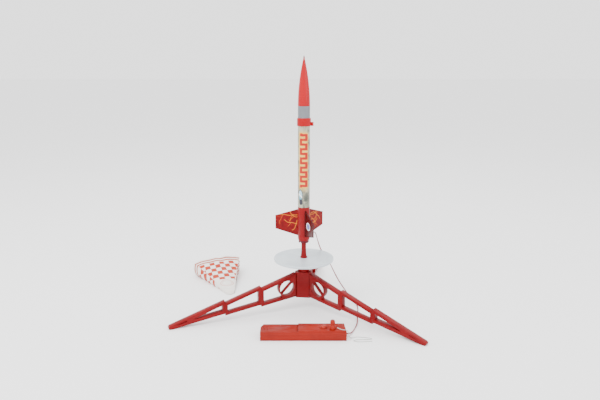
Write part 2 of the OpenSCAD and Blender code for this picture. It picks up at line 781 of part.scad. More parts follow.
module launch_button() {
    r = button_d / 2;
    dome = 2;
    top = ctrl_h + panel_h;
    color([0.88, 0.3, 0.2]) at_controller() translate([button_x, button_y, 0]) {
        translate([0, 0, top - ctrl_wall - 1.5]) cylinder(r = r + 1, h = 1.3);
        translate([0, 0, top - ctrl_wall - 0.3]) cylinder(r = r, h = ctrl_wall + 1.3);
        translate([0, 0, top + 1]) rotate_extrude() intersection() {
            translate([0, -dome]) circle(r = sqrt(r * r + dome * dome));
            square([r, 2 * r]);
        }
    }
}

module button_spring() {
    color([0.75, 0.75, 0.78]) at_controller() translate([button_x, button_y, 0])
        tube(3.4, 2.6, spring_z, ctrl_h + panel_h - ctrl_wall - 1.6 - spring_z);
}

module safety_key() {
    color([0.72, 0.16, 0.1]) at_controller() translate([key_x, key_y, 0]) {
        translate([0, 0, key_foot]) cylinder(r = key_stem_r, h = key_z - key_foot + 0.5, $fn = 48);
        translate([0, 0, key_z + 0.15]) rotate_extrude() polygon([[0, 0], [key_d / 2, 0],
            [key_d / 2, 5.5], [key_d / 2 - 0.8, 7], [3.8, 8.2], [3.9, 11], [4.6, 12.5], [4.8, 14.5],
            [4.5, 17], [3.5, 18.4], [0, 19]]);
        translate([key_d / 2 + 0.6, 0, key_z + 3.4]) rotate([90, 0, 0]) rotate_extrude($fn = 32)
            translate([key_eye_r - 0.6, 0]) circle(r = 0.6, $fn = 16);
    }
}

module key_cord() {
    color([0.95, 0.95, 0.93]) cord(string_route, string_d, 1);
}

// ---------- Parachute ----------

// Plain solid of the folded parachute: crown towards the front, hem puffed up behind
module parachute() {
    half = gore / 2;
    corner_r = 15;
    edge = chute_l - corner_r;
    crown_r = 12;
    color([0.97, 0.6, 0.35]) translate([chute_x, chute_y, 0]) rotate([0, 0, chute_turn]) hull() {
        translate([crown_r, 0, 0]) cylinder(r1 = crown_r, r2 = crown_r - 2, h = 5, $fn = hull_fn);
        for (s = [-1, 1]) rotate([0, 0, s * half]) translate([edge, 0, corner_r])
            sphere(r = corner_r, $fn = hull_fn);
        for (s = [-1, 1]) rotate([0, 0, s * half / 2])
            translate([chute_l - chute_h / 2, 0, chute_h / 2])
                sphere(r = chute_h / 2, $fn = hull_fn);
    }
}

hub();
rod_holder();
standoff();
leg_inner(leg_left);  // leg_inner_left
leg_inner(leg_right);  // leg_inner_right
leg_inner(leg_turn);  // leg_inner_rear
leg_middle(leg_left);  // leg_middle_left
leg_middle(leg_right);  // leg_middle_right
leg_middle(leg_turn);  // leg_middle_rear
leg_tip(leg_left);  // leg_tip_left
leg_tip(leg_right);  // leg_tip_right
leg_tip(leg_turn);  // leg_tip_rear
blast_plate();
body_tube();
upper_tube();
tube_coupler();
lug_ring();
nose_cone();
nose_base();
fin_can();
fin(fin_turn);  // fin_rear
fin(fin_turn + 120);  // fin_left
fin(fin_turn + 240);  // fin_front
motor_tube();
centering_rings();
thrust_ring();
engine_casing();
engine_nozzle();
engine_grain();
engine_cap();
engine_retainer();
igniter();
igniter_plug();
shock_cord();
recovery_wadding();
clip_jaws();
clip_boot();
lead_wire();
lead_grommet();
controller_base();
controller_cover();
controller_screws();
battery_door();
batteries();
battery_springs();
battery_plates();
switch_board();
lamp();
launch_button();
button_spring();
safety_key();
key_cord();
parachute();
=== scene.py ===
import math
import random

import bmesh
import bpy
import numpy as np
from mathutils import Matrix, Vector


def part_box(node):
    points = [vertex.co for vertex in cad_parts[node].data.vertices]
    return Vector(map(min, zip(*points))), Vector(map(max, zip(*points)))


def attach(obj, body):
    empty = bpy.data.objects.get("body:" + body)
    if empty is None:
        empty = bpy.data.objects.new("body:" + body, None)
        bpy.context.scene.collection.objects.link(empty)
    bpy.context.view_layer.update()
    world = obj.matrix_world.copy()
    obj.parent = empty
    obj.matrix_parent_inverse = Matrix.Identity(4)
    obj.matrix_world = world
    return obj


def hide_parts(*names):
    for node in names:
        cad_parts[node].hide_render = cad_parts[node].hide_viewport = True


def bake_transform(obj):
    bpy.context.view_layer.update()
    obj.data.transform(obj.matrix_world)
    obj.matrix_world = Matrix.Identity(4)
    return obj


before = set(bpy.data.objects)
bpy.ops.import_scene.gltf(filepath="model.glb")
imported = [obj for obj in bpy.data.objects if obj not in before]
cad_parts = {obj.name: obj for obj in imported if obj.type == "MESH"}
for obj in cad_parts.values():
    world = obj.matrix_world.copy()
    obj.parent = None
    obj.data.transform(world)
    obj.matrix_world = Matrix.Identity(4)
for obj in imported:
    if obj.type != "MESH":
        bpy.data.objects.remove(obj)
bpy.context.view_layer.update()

bl_info = {
    "name": "Model rocket launch set",
    "version": (1, 0, 0),
    "blender": (4, 5, 0),
    "location": "3D View > Sidebar > Rocket",
    "description": "Builds a model rocket on its launch pad with controller and parachute",
    "category": "Object",
}

MM = 0.001

# Lead from the clips at the nozzle to the controller, in metres
LEAD_ROUTE = [Vector(p) * MM for p in (
    (2.1, 23.6, 146), (2.6, 26, 146.8), (5, 27.5, 150), (10, 25, 155.5), (15, 19, 160.5),
    (19.5, 13.5, 165), (22.5, 11, 166.5), (25, 14, 164), (27, 20, 157), (29, 28, 148),
    (33, 41, 132), (39, 56, 113), (48, 50, 101), (58, 39, 87), (67, 31, 70), (78, 27, 50),
    (90, 25, 32), (102, 22, 16), (111, 17, 6), (116, 8, 2.2), (117, -6, 1.4), (116, -22, 1.4),
    (114, -40, 1.4), (112, -58, 1.4), (110, -76, 1.4), (107, -92, 1.4), (102, -108, 1.4),
    (97, -122, 1.8), (92, -134, 3.5), (88, -140, 5.5), (84.5, -142.5, 6))]
LEAD_WIDTH = 2.4 * MM

# Cord of the safety key, in metres
KEY_CORD_ROUTE = [Vector(p) * MM for p in (
    (63.2, -152.5, 23.4), (66.5, -153.5, 21.8), (71, -155.5, 21), (76, -157.5, 20.8),
    (81, -158, 20.8), (84, -157.5, 17), (86, -156, 9.5), (88.5, -154, 3.5), (94, -150, 0.8),
    (104, -146.5, 0.7), (116, -148.5, 0.7), (126, -151, 0.7), (130, -154, 0.7),
    (126, -157, 0.7), (114, -157, 0.7), (102, -158, 0.7), (95, -161, 0.7), (98, -165, 0.7),
    (106, -167, 0.7), (118, -166, 0.7), (130, -165, 0.7))]
KEY_CORD_DIAMETER = 1.2 * MM

# Camera: where it stands, how far it looks down and its focal length
CAMERA_PLACE = Vector((-8, -1198, 516)) * MM
CAMERA_PITCH = math.radians(13.0)
CAMERA_LENS = 35.3

AXIS = Vector((0, 0, 0))
ENGINE_TURN = math.radians(85)
FIN_TURN = {"fin_rear": 48.2, "fin_left": 168.2, "fin_front": 288.2}


# ---------- Reading the frame ----------

def low(node):
    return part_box(node)[0]


def high(node):
    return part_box(node)[1]


def radius(node):
    return (high(node).x - low(node).x) / 2


def middle(node):
    return (low(node) + high(node)) / 2


# ---------- Shader expressions ----------

class Sock:
    """An output socket that takes part in Python expressions."""

    def __init__(self, tree, socket):
        self.tree = tree
        self.socket = socket

    def math(self, operation, *terms, clamp=False):
        node = self.tree.nodes.new("ShaderNodeMath")
        node.operation = operation
        node.use_clamp = clamp
        for port, term in zip(node.inputs, terms):
            feed(self.tree, port, term)
        return Sock(self.tree, node.outputs[0])

    def __add__(self, other):
        return self.math("ADD", self, other)

    def __radd__(self, other):
        return self.math("ADD", other, self)

    def __sub__(self, other):
        return self.math("SUBTRACT", self, other)

    def __rsub__(self, other):
        return self.math("SUBTRACT", other, self)

    def __mul__(self, other):
        return self.math("MULTIPLY", self, other)

    def __rmul__(self, other):
        return self.math("MULTIPLY", other, self)

    def __truediv__(self, other):
        return self.math("DIVIDE", self, other)

    def __rtruediv__(self, other):
        return self.math("DIVIDE", other, self)

    def __pow__(self, other):
        return self.math("POWER", self, other)

    def __neg__(self):
        return self.math("MULTIPLY", self, -1.0)

    def __abs__(self):
        return self.math("ABSOLUTE", self)

    def __lt__(self, other):
        return self.math("LESS_THAN", self, other)

    def __gt__(self, other):
        return self.math("GREATER_THAN", self, other)

    def clip(self):
        return self.math("ADD", self, 0.0, clamp=True)

    def least(self, other):
        return self.math("MINIMUM", self, other)

    def most(self, other):
        return self.math("MAXIMUM", self, other)

    def sine(self):
        return self.math("SINE", self)

    def floor(self):
        return self.math("FLOOR", self)

    def fract(self):
        return self.math("FRACT", self)

    def bearing(self, other):
        """Angle of the direction whose parts are self and other."""
        return self.math("ARCTAN2", self, other)

    def fold(self, step):
        """Saw-tooth from 0 to 1 that repeats every step."""
        return (self / step).fract()

    def ramp(self, start, end):
        """0 at start, 1 at end, held outside, smooth between."""
        node = self.tree.nodes.new("ShaderNodeMapRange")
        node.interpolation_type = "SMOOTHSTEP"
        feed(self.tree, node.inputs["Value"], self)
        feed(self.tree, node.inputs["From Min"], start)
        feed(self.tree, node.inputs["From Max"], end)
        return Sock(self.tree, node.outputs[0])


def feed(tree, port, term):
    """Links a socket to a port, or sets the port to a number, colour or vector."""
    if isinstance(term, Sock):
        tree.links.new(term.socket, port)
    elif isinstance(term, (tuple, list)) and len(term) == 3 and port.type == "RGBA":
        port.default_value = (*term, 1.0)
    else:
        port.default_value = term


class Finish:
    """One material while its nodes are being laid."""

    def __init__(self, name, **fixed):
        self.material = bpy.data.materials.new(name)
        self.material.use_nodes = True
        self.tree = self.material.node_tree
        self.shader = self.tree.nodes["Principled BSDF"]
        for port, value in fixed.items():
            feed(self.tree, self.shader.inputs[port.replace("_", " ")], value)

    def add(self, kind, settings=None, out=0, **ports):
        """A node of any other type: its settings first, then its sockets."""
        node = self.tree.nodes.new(kind)
        for key, value in (settings or {}).items():
            if key == "stops":
                ramp = node.color_ramp
                while len(ramp.elements) < len(value):
                    ramp.elements.new(0.5)
                for element, (place, colour) in zip(ramp.elements, value):
                    element.position = place
                    element.color = (*colour, 1.0)
            else:
                setattr(node, key, value)
        for port, value in ports.items():
            feed(self.tree, node.inputs[port.replace("_", " ")], value)
        return Sock(self.tree, node.outputs[out])

    def place(self):
        return self.add("ShaderNodeTexCoord", out="Object")

    def chart(self, name="surface"):
        return self.add("ShaderNodeUVMap", {"uv_map": name})

    def trait(self, name):
        return self.add("ShaderNodeAttribute", {"attribute_name": name}, out="Fac")

    def part(self, vector):
        """The three numbers of a vector."""
        node = self.tree.nodes.new("ShaderNodeSeparateXYZ")
        feed(self.tree, node.inputs[0], vector)
        return [Sock(self.tree, port) for port in node.outputs]

    def joined(self, x, y, z=0.0):
        return self.add("ShaderNodeCombineXYZ", X=x, Y=y, Z=z)

    def vector(self, operation, a, b):
        node = self.tree.nodes.new("ShaderNodeVectorMath")
        node.operation = operation
        feed(self.tree, node.inputs[0], a)
        feed(self.tree, node.inputs[1], b)
        return Sock(self.tree, node.outputs[0])

    def noise(self, size, vector=None, detail=3.0, rough=0.5, out=0, warp=0.0):
        """Noise with lumps of about size metres."""
        return self.add("ShaderNodeTexNoise", out=out, Vector=vector or self.place(),
                        Scale=1.0 / size, Detail=detail, Roughness=rough, Distortion=warp)

    def mix(self, factor, a, b, blend="MIX"):
        """Colours a and b mixed."""
        node = self.tree.nodes.new("ShaderNodeMix")
        node.data_type = "RGBA"
        node.blend_type = blend
        for index, value in ((0, factor), (6, a), (7, b)):
            feed(self.tree, node.inputs[index], value)
        return Sock(self.tree, node.outputs[2])

    def bump(self, height, distance, strength=1.0, below=None):
        ports = {"Height": height, "Distance": distance, "Strength": strength}
        if below is not None:
            ports["Normal"] = below
        return self.add("ShaderNodeBump", **ports)

    def set(self, **ports):
        for port, value in ports.items():
            feed(self.tree, self.shader.inputs[port.replace("_", " ")], value)
        return self


def shade(colour, factor):
    return tuple(min(1.0, c * factor) for c in colour)


FINISHES = {}


def finish(maker):
    """Keeps one copy of each material."""
    def once(*settings):
        key = (maker.__name__, *settings)
        if key not in FINISHES:
            FINISHES[key] = maker(*settings).material
        return FINISHES[key]
    return once


@finish
def moulded(name, colour, rough, coat, grain):
    """Injection-moulded plastic: flow clouds, fine mould grain, faint handling marks."""
    f = Finish(name, Coat_Roughness=0.15, Specular_IOR_Level=0.16, Coat_IOR=1.35)
    flow = f.noise(0.045, detail=4.0, warp=0.6)
    mould = f.noise(0.0006, detail=2.0)
    handled = f.noise(0.012, detail=6.0, rough=0.65)
    scuff = f.noise(0.02, f.vector("MULTIPLY", f.place(), (1.0, 1.0, 14.0)), 8.0, 0.7)
    scuffs = scuff.ramp(0.62, 0.72) * handled.ramp(0.5, 0.65)
    tone = f.mix(flow.ramp(0.35, 0.65), shade(colour, 0.9), shade(colour, 1.08))
    tone = f.mix(scuffs * 0.12, tone, shade(colour, 1.5))
    f.set(Base_Color=tone)
    f.set(Roughness=rough + (handled - 0.5) * 0.14 + scuffs * 0.1)
    f.set(Coat_Weight=coat * (1.0 - scuffs * 0.5))
    f.set(Normal=f.bump(mould, grain * 0.00012, 0.6, f.bump(flow, 0.0012, 0.02)))
    return f


@finish
def nose_plastic():
    """Blow-moulded gloss red with a fine parting line and a worn dark tip."""
    colour = (0.36, 0.0012, 0.005)
    f = Finish("nose_gloss_red", Coat_Roughness=0.08, Coat_IOR=1.4, Specular_IOR_Level=0.2)
    x, y, z = f.part(f.place())
    tip = high("nose_cone").z
    flow = f.noise(0.03, f.vector("MULTIPLY", f.place(), (1.0, 1.0, 0.3)), 3.0)
    swirl = f.noise(0.006, detail=5.0)
    dark = z.ramp(tip - 5 * MM, tip - 1 * MM)
    seam = 1.0 - abs(y).ramp(0.00012, 0.0004)
    tone = f.mix(flow.ramp(0.35, 0.65), shade(colour, 0.93), shade(colour, 1.06))
    tone = f.mix(dark * 0.75, tone, (0.05, 0.002, 0.006))
    f.set(Base_Color=tone, Roughness=0.2 + swirl * 0.12, Coat_Weight=0.16 - swirl * 0.06)
    height = f.noise(0.0009) * 0.35 + seam
    f.set(Normal=f.bump(height, 0.00012, 0.7))
    return f


@finish
def printed_tube():
    """Gloss printed card: storm clouds, a yellow glow and a plain red meander."""
    f = Finish("tube_print", Coat_Roughness=0.15, Coat_IOR=1.4, Specular_IOR_Level=0.3)
    x, y, z = f.part(f.place())
    r = radius("body_tube")
    foot = high("fin_can").z - 15 * MM
    print_turn = 1.2 * MM
    turn = (x + print_turn).bearing(-y)
    across = turn * r
    up = z - foot
    cloud = f.noise(0.022, detail=6.0, rough=0.62, warp=0.9)
    wisps = f.noise(0.008, f.vector("MULTIPLY", f.place(), (1.0, 1.0, 0.5)), 7.0, 0.65, warp=1.6)
    sky = f.mix(cloud.ramp(0.34, 0.66), (0.055, 0.065, 0.055), (0.38, 0.36, 0.26))
    sky = f.mix(wisps.ramp(0.5, 0.7) * 0.6, sky, (0.56, 0.52, 0.38))
    sky = f.mix(f.noise(0.035, detail=2.0).ramp(0.5, 0.7) * 0.4, sky, (0.24, 0.19, 0.23))
    # A thick meander with a glowing edge climbs the front of the tube
    step = 19 * MM
    row = (up - 42 * MM) / step
    ripple = (f.noise(0.005, detail=2.0) - 0.5) * 1.4 * MM
    half = (row * 2.0 + 0.5).floor()
    side = (half * 0.5).fract() * 4.0 - 1.0
    bar = (abs(across - 0.5 * MM) - 8.6 * MM).most(
        abs((row * 2.0).fold(1.0) - 0.5) * step * 0.5 - 2.7 * MM)
    link = abs(across - 0.5 * MM - side * 5.8 * MM) - 3.0 * MM
    shape = bar.least(link).most(43 * MM - up).most(up - 155 * MM) + ripple
    # Printed yellow glowing band behind the meander, held to the tube's front and fading sideways:
    # the darker sides are painted shade.
    glow_and_painted_side_shade = (1.0 - abs(across + 1 * MM).ramp(5 * MM, 14 * MM)) \
        * up.ramp(30 * MM, 46 * MM) * (1.0 - up.ramp(152 * MM, 164 * MM))
    tone = f.mix(glow_and_painted_side_shade * (0.5 + cloud * 0.45), sky, (0.74, 0.50, 0.10))
    tone = f.mix(1.0 - shape.ramp(0.0, 1.7 * MM), tone, (0.78, 0.36, 0.02))
    tone = f.mix(1.0 - shape.ramp(-0.5 * MM, 0.3 * MM), tone, (0.50, 0.035, 0.003))
    tone = f.mix(1.0 - shape.ramp(-1.7 * MM, -0.8 * MM), tone, (0.36, 0.004, 0.001))
    # Plain oval badge low on the tube
    bx = (across + 6.8 * MM) / (5.2 * MM)
    by = (up - 26 * MM) / (12.5 * MM)
    oval = bx * bx + by * by
    tone = f.mix(oval < 1.0, tone, (0.05, 0.06, 0.08))
    fill = f.mix(by.ramp(-0.9, 0.9), (0.10, 0.28, 0.36), (0.45, 0.68, 0.75))
    tone = f.mix(oval < 0.72, tone, fill)
    tone = f.mix((abs(by + bx * 0.35) < 0.16) * (oval < 0.72), tone, (0.85, 0.9, 0.9))
    cx = (across + 5.6 * MM) / (4.4 * MM)
    cy = (up - 12 * MM) / (6.0 * MM)
    tone = f.mix((cx * cx + cy * cy) < 1.0, tone, (0.03, 0.03, 0.04))
    wrap = 1.0 - abs((z + turn * 0.009).fold(0.0565) - 0.5).ramp(0.0, 0.006)
    f.set(Base_Color=f.mix(wrap * 0.25, tone, (0.25, 0.25, 0.24)))
    f.set(Roughness=0.32 + wisps * 0.12, Coat_Weight=0.12)
    f.set(Normal=f.bump(f.noise(0.0011) * 0.4 - wrap, 0.00006, 0.7))
    return f


@finish
def grey_card():
    """Silver-grey coated tube with its spiral wrap showing faintly."""
    f = Finish("grey_coated_tube", Coat_Roughness=0.2, Metallic=0.15)
    x, y, z = f.part(f.place())
    turn = x.bearing(-y)
    wrap = 1.0 - abs((z + turn * 0.0045).fold(0.0283) - 0.5).ramp(0.0, 0.012)
    fibre = f.noise(0.0007, f.vector("MULTIPLY", f.place(), (1.0, 1.0, 0.35)), 4.0)
    cloud = f.noise(0.014, detail=3.0)
    tone = f.mix(cloud, (0.125, 0.132, 0.145), (0.165, 0.172, 0.19))
    f.set(Base_Color=f.mix(wrap * 0.35, tone, (0.24, 0.26, 0.28)))
    f.set(Roughness=0.36 + fibre * 0.16, Coat_Weight=0.12)
    f.set(Normal=f.bump(fibre * 0.5 - wrap, 0.00008, 0.8))
    return f


@finish
def fin_print(badge):
    """Gloss dark-red label with branching lightning held in the fin's own attribute."""
    f = Finish("fin_print_" + ("badge" if badge else "bolts"), Coat_Roughness=0.12,
               Specular_IOR_Level=0.1)
    bolt = f.trait("bolt")
    haze = f.trait("haze")
    cloud = f.noise(0.012, detail=5.0, warp=0.8)
    # The badge fin's print is darkened to about a third: painted shade.
    painted_shade_factor = 0.35 if badge else 1.0
    tone = f.mix(cloud.ramp(0.3, 0.7), shade((0.12, 0.0006, 0.002), painted_shade_factor),
                 shade((0.19, 0.0015, 0.003), painted_shade_factor))
    tone = f.mix(haze.ramp(0.05, 0.9) * 0.8, tone, (0.33, 0.012, 0.002))
    tone = f.mix(bolt.ramp(0.12, 0.5), tone, (0.52, 0.09, 0.003))
    tone = f.mix(bolt.ramp(0.5, 0.95), tone, (0.64, 0.28, 0.008))
    if badge:
        oval = f.trait("badge")
        tone = f.mix(oval < 1.0, tone, (0.05, 0.03, 0.05))
        tone = f.mix(oval < 0.88, tone, (0.86, 0.87, 0.88))
        tone = f.mix(oval < 0.5, tone, (0.12, 0.15, 0.42))
    f.set(Base_Color=tone, Roughness=0.3 + cloud * 0.1, Coat_Weight=0.06)
    f.set(Normal=f.bump(f.noise(0.0008), 0.00004, 0.6))
    return f


@finish
def plate_paint():
    """Pale grey baked paint on pressed sheet, with rub rings and small scratches."""
    f = Finish("blast_plate_paint", Coat_Roughness=0.25)
    x, y, z = f.part(f.place())
    out = (x * x + y * y) ** 0.5
    rings = (out * 5200.0 + f.noise(0.01) * 6.0).sine() * 0.5 + 0.5
    cloud = f.noise(0.03, detail=5.0, rough=0.6)
    speck = f.noise(0.0022, detail=3.0)
    scratch = f.noise(0.004, f.vector("MULTIPLY", f.place(), (9.0, 1.0, 1.0)), 6.0, 0.7)
    marks = scratch.ramp(0.66, 0.7) * cloud.ramp(0.45, 0.6)
    tone = f.mix(cloud.ramp(0.3, 0.7), (0.50, 0.56, 0.60), (0.58, 0.64, 0.67))
    tone = f.mix(speck.ramp(0.62, 0.72) * 0.15, tone, (0.40, 0.45, 0.50))
    f.set(Base_Color=f.mix(marks * 0.3, tone, (0.70, 0.73, 0.76)))
    f.set(Metallic=0.2, Coat_Weight=0.1 + speck * 0.1)
    f.set(Roughness=0.40 + cloud * 0.12 - rings * 0.03)
    f.set(Normal=f.bump(rings * 0.2 + speck * 0.8 - marks, 0.00005, 0.5))
    return f


@finish
def card(name, colour):
    """Raw wound card: fibres and a spiral seam."""
    f = Finish(name)
    fibre = f.noise(0.0016, f.vector("MULTIPLY", f.place(), (1.0, 1.0, 0.2)), 6.0, 0.7)
    cloud = f.noise(0.01)
    tone = f.mix(fibre, shade(colour, 0.8), shade(colour, 1.15))
    f.set(Base_Color=f.mix(cloud * 0.3, tone, shade(colour, 0.7)), Roughness=0.75 + fibre * 0.15)
    f.set(Normal=f.bump(fibre, 0.0001, 0.7))
    return f


@finish
def metal(name, colour, rough):
    """Drawn or plated metal with fine lines and a little tarnish."""
    f = Finish(name, Metallic=1.0)
    line = f.noise(0.0005, f.vector("MULTIPLY", f.place(), (0.2, 1.0, 1.0)), 4.0)
    tarnish = f.noise(0.004, detail=5.0)
    f.set(Base_Color=f.mix(tarnish.ramp(0.45, 0.75) * 0.5, colour, shade(colour, 0.55)))
    f.set(Roughness=rough + tarnish * 0.18 + line * 0.06)
    f.set(Normal=f.bump(line, 0.00003, 0.5))
    return f


@finish
def rubbery(name, colour, rough):
    """Soft vinyl or pressed matter with a dull uneven skin."""
    f = Finish(name)
    skin = f.noise(0.0009, detail=4.0)
    cloud = f.noise(0.02, detail=3.0)
    f.set(Base_Color=f.mix(cloud, shade(colour, 0.85), shade(colour, 1.12)))
    f.set(Roughness=rough + skin * 0.16)
    f.set(Normal=f.bump(skin, 0.00006, 0.6))
    return f


@finish
def braid():
    """White braided cord, woven along its own chart."""
    f = Finish("white_braid", Sheen_Weight=0.35, Sheen_Roughness=0.5)
    u, v, w = f.part(f.chart())
    one = (u * 25.1327 + v * 5200.0).sine()
    two = (u * 25.1327 - v * 5200.0).sine()
    weave = one * two
    # The weave's hollows are darkened as painted shade.
    tone = f.mix(weave.ramp(-0.6, 0.8), (0.34, 0.34, 0.33), (0.70, 0.70, 0.68))
    f.set(Base_Color=tone, Roughness=0.85 - weave * 0.05)
    f.set(Normal=f.bump(weave, 0.00012, 0.9))
    return f


@finish
def translucent_red():
    """Glossy launch button, lit from inside by a little colour of its own."""
    f = Finish("button_red", Coat_Roughness=0.1, Coat_IOR=1.35, Subsurface_Weight=0.2,
               Subsurface_Scale=0.003, Specular_IOR_Level=0.2)
    cloud = f.noise(0.004, detail=3.0)
    f.set(Base_Color=f.mix(cloud, (0.27, 0.012, 0.004), (0.33, 0.02, 0.007)))
    f.set(Roughness=0.24 + cloud * 0.1, Coat_Weight=0.12)
    f.set(Normal=f.bump(f.noise(0.0008), 0.00003, 0.5))
    return f


@finish
def cell_jacket():
    """Plain two-tone battery sleeve: black with a copper end."""
    f = Finish("cell_jacket", Coat_Roughness=0.1)
    x, y, z = f.part(f.place())
    start = low("batteries").x
    length = (high("batteries").x - start) / 2
    along = (x - start).fold(length)
    copper = along > 0.72
    scuff = f.noise(0.006, detail=6.0)
    tone = f.mix(copper, (0.03, 0.03, 0.035), (0.62, 0.33, 0.14))
    f.set(Base_Color=f.mix(scuff * 0.15, tone, (0.3, 0.3, 0.3)), Metallic=copper * 0.7)
    f.set(Roughness=0.28 + scuff * 0.14, Coat_Weight=0.4)
    return f


@finish
def film():
    """Thin printed plastic film: orange checks on white, bands at the hem, plain crown ring."""
    f = Finish("parachute_film", Specular_IOR_Level=0.25)
    u, v, w = f.part(f.chart())
    crease_and_shade = f.noise(0.02, f.joined(u * 1.0, v * 1.0), 5.0, 0.6, warp=0.7)
    check = 13.5 * MM
    column = (u + 40 * check + (crease_and_shade - 0.5) * 1.2 * MM) / check
    line = (v + (crease_and_shade - 0.5) * 1.2 * MM) / check
    parity = (column.floor() + line.floor()) * 0.5
    checks = parity.fract() > 0.25
    length = 152.4 * MM
    field = (v > 58 * MM) * (v < length - 20 * MM)
    hem = (v > length - 17 * MM) * ((v - length + 17 * MM).fold(8.5 * MM) < 0.5)
    away = ((u * u) + (v - 42 * MM) * (v - 42 * MM)) ** 0.5
    crown = (abs(away - 12.5 * MM) < 0.8 * MM) + (abs(away - 9.5 * MM) < 0.4 * MM)
    # Paper and orange tones go darker and lighter along the creases: painted shade and highlight.
    paper = f.mix(crease_and_shade.ramp(0.3, 0.7), (0.74, 0.69, 0.64), (0.86, 0.83, 0.79))
    orange = f.mix(crease_and_shade.ramp(0.3, 0.7), (0.38, 0.018, 0.0004), (0.46, 0.036, 0.0012))
    tone = f.mix(checks * field, paper, orange)
    tone = f.mix(hem, tone, (0.38, 0.04, 0.003))
    tone = f.mix(crown.clip() * 0.6, tone, (0.62, 0.20, 0.14))
    f.set(Base_Color=tone, Roughness=0.4 + crease_and_shade * 0.15)
    wrinkle = f.noise(0.009, f.joined(u, v * 0.45), 6.0, 0.65, warp=1.1)
    f.set(Normal=f.bump(wrinkle, 0.0012, 0.5, f.bump(f.noise(0.0012), 0.00005, 0.4)))
    return f


# ---------- Shapes ----------

def new_object(name, mesh):
    piece = bpy.data.objects.new(name, mesh)
    bpy.context.scene.collection.objects.link(piece)
    return piece


def settle(piece):
    """Turns a piece with modifiers into a plain mesh."""
    graph = bpy.context.evaluated_depsgraph_get()
    mesh = bpy.data.meshes.new_from_object(piece.evaluated_get(graph),
                                           preserve_all_data_layers=True, depsgraph=graph)
    piece.modifiers.clear()
    piece.data = mesh
    return piece


def smooth(piece, angle=32.0):
    piece.data.shade_smooth()
    piece.data.set_sharp_from_angle(angle=math.radians(angle))
    return piece


def bevelled(piece, width, segments=2, angle=30.0):
    """Rounds the edges of a piece by width metres."""
    bevel = piece.modifiers.new("edges", "BEVEL")
    bevel.width = width
    bevel.segments = segments
    bevel.limit_method = "ANGLE"
    bevel.angle_limit = math.radians(angle)
    bevel.harden_normals = True
    bevel.use_clamp_overlap = True
    return smooth(settle(piece), 50.0)


def outward(bm):
    bmesh.ops.remove_doubles(bm, verts=bm.verts, dist=1e-7)
    bmesh.ops.recalc_face_normals(bm, faces=bm.faces)


def from_lists(name, verts, faces, tidy=True):
    mesh = bpy.data.meshes.new(name)
    mesh.from_pydata(verts, [], faces)
    if tidy:
        bm = bmesh.new()
        bm.from_mesh(mesh)
        outward(bm)
        bm.to_mesh(mesh)
        bm.free()
    return new_object(name, mesh)


def joined_mesh(name, pieces):
    """One object out of several."""
    bm = bmesh.new()
    for piece in pieces:
        bm.from_mesh(piece.data)
    mesh = bpy.data.meshes.new(name)
    bm.to_mesh(mesh)
    bm.free()
    for piece in pieces:
        bpy.data.objects.remove(piece)
    return new_object(name, mesh)


def lathe(name, outline, centre=AXIS, segments=96, closed=False, spin=None):
    """An outline of (radius, height) points turned round an upright line through centre."""
    verts = []
    rings = []
    for r, z in outline:
        count = 1 if r < 1e-7 else segments
        rings.append([len(verts) + k for k in range(count)])
        for k in range(count):
            turn = 2 * math.pi * k / segments
            verts.append((centre[0] + r * math.cos(turn), centre[1] + r * math.sin(turn),
                          centre[2] + z))
    faces = []
    for a, b in list(zip(rings, rings[1:])) + ([(rings[-1], rings[0])] if closed else []):
        for k in range(segments):
            n = (k + 1) % segments
            if len(a) == 1 and len(b) == 1:
                continue
            if len(a) == 1:
                faces.append((a[0], b[n], b[k]))
            elif len(b) == 1:
                faces.append((a[k], a[n], b[0]))
            else:
                faces.append((a[k], a[n], b[n], b[k]))
    piece = from_lists(name, verts, faces)
    if spin is not None:
        piece.data.transform(spin)
    return smooth(piece)


def arc(cx, cy, r, start, end, steps=6):
    """Points on an arc in an outline, angles in degrees."""
    return [(cx + r * math.cos(math.radians(start + (end - start) * k / steps)),
             cy + r * math.sin(math.radians(start + (end - start) * k / steps)))
            for k in range(steps + 1)]


def tube_outline(r_out, r_in, z0, z1, round_by):
    """Closed outline of a tube with rounded rims."""
    e = round_by
    return (arc(r_out - e, z0 + e, e, -90, 0, 4) + arc(r_out - e, z1 - e, e, 0, 90, 4)
            + arc(r_in + e, z1 - e, e, 90, 180, 4) + arc(r_in + e, z0 + e, e, 180, 270, 4))


def curve_point(a, b, c, d, t):
    return 0.5 * ((2 * b) + (c - a) * t + (2 * a - 5 * b + 4 * c - d) * t * t
                  + (3 * b - a - 3 * c + d) * t * t * t)


def smooth_route(points, steps):
    """The same smooth curve through a route's points that the plain tube follows."""
    last = len(points) - 1
    path = []
    for i in range(last):
        a, b, c, d = (points[max(i - 1, 0)], points[i], points[i + 1], points[min(i + 2, last)])
        path += [curve_point(a, b, c, d, s / steps) for s in range(steps)]
    return path + [points[last]]


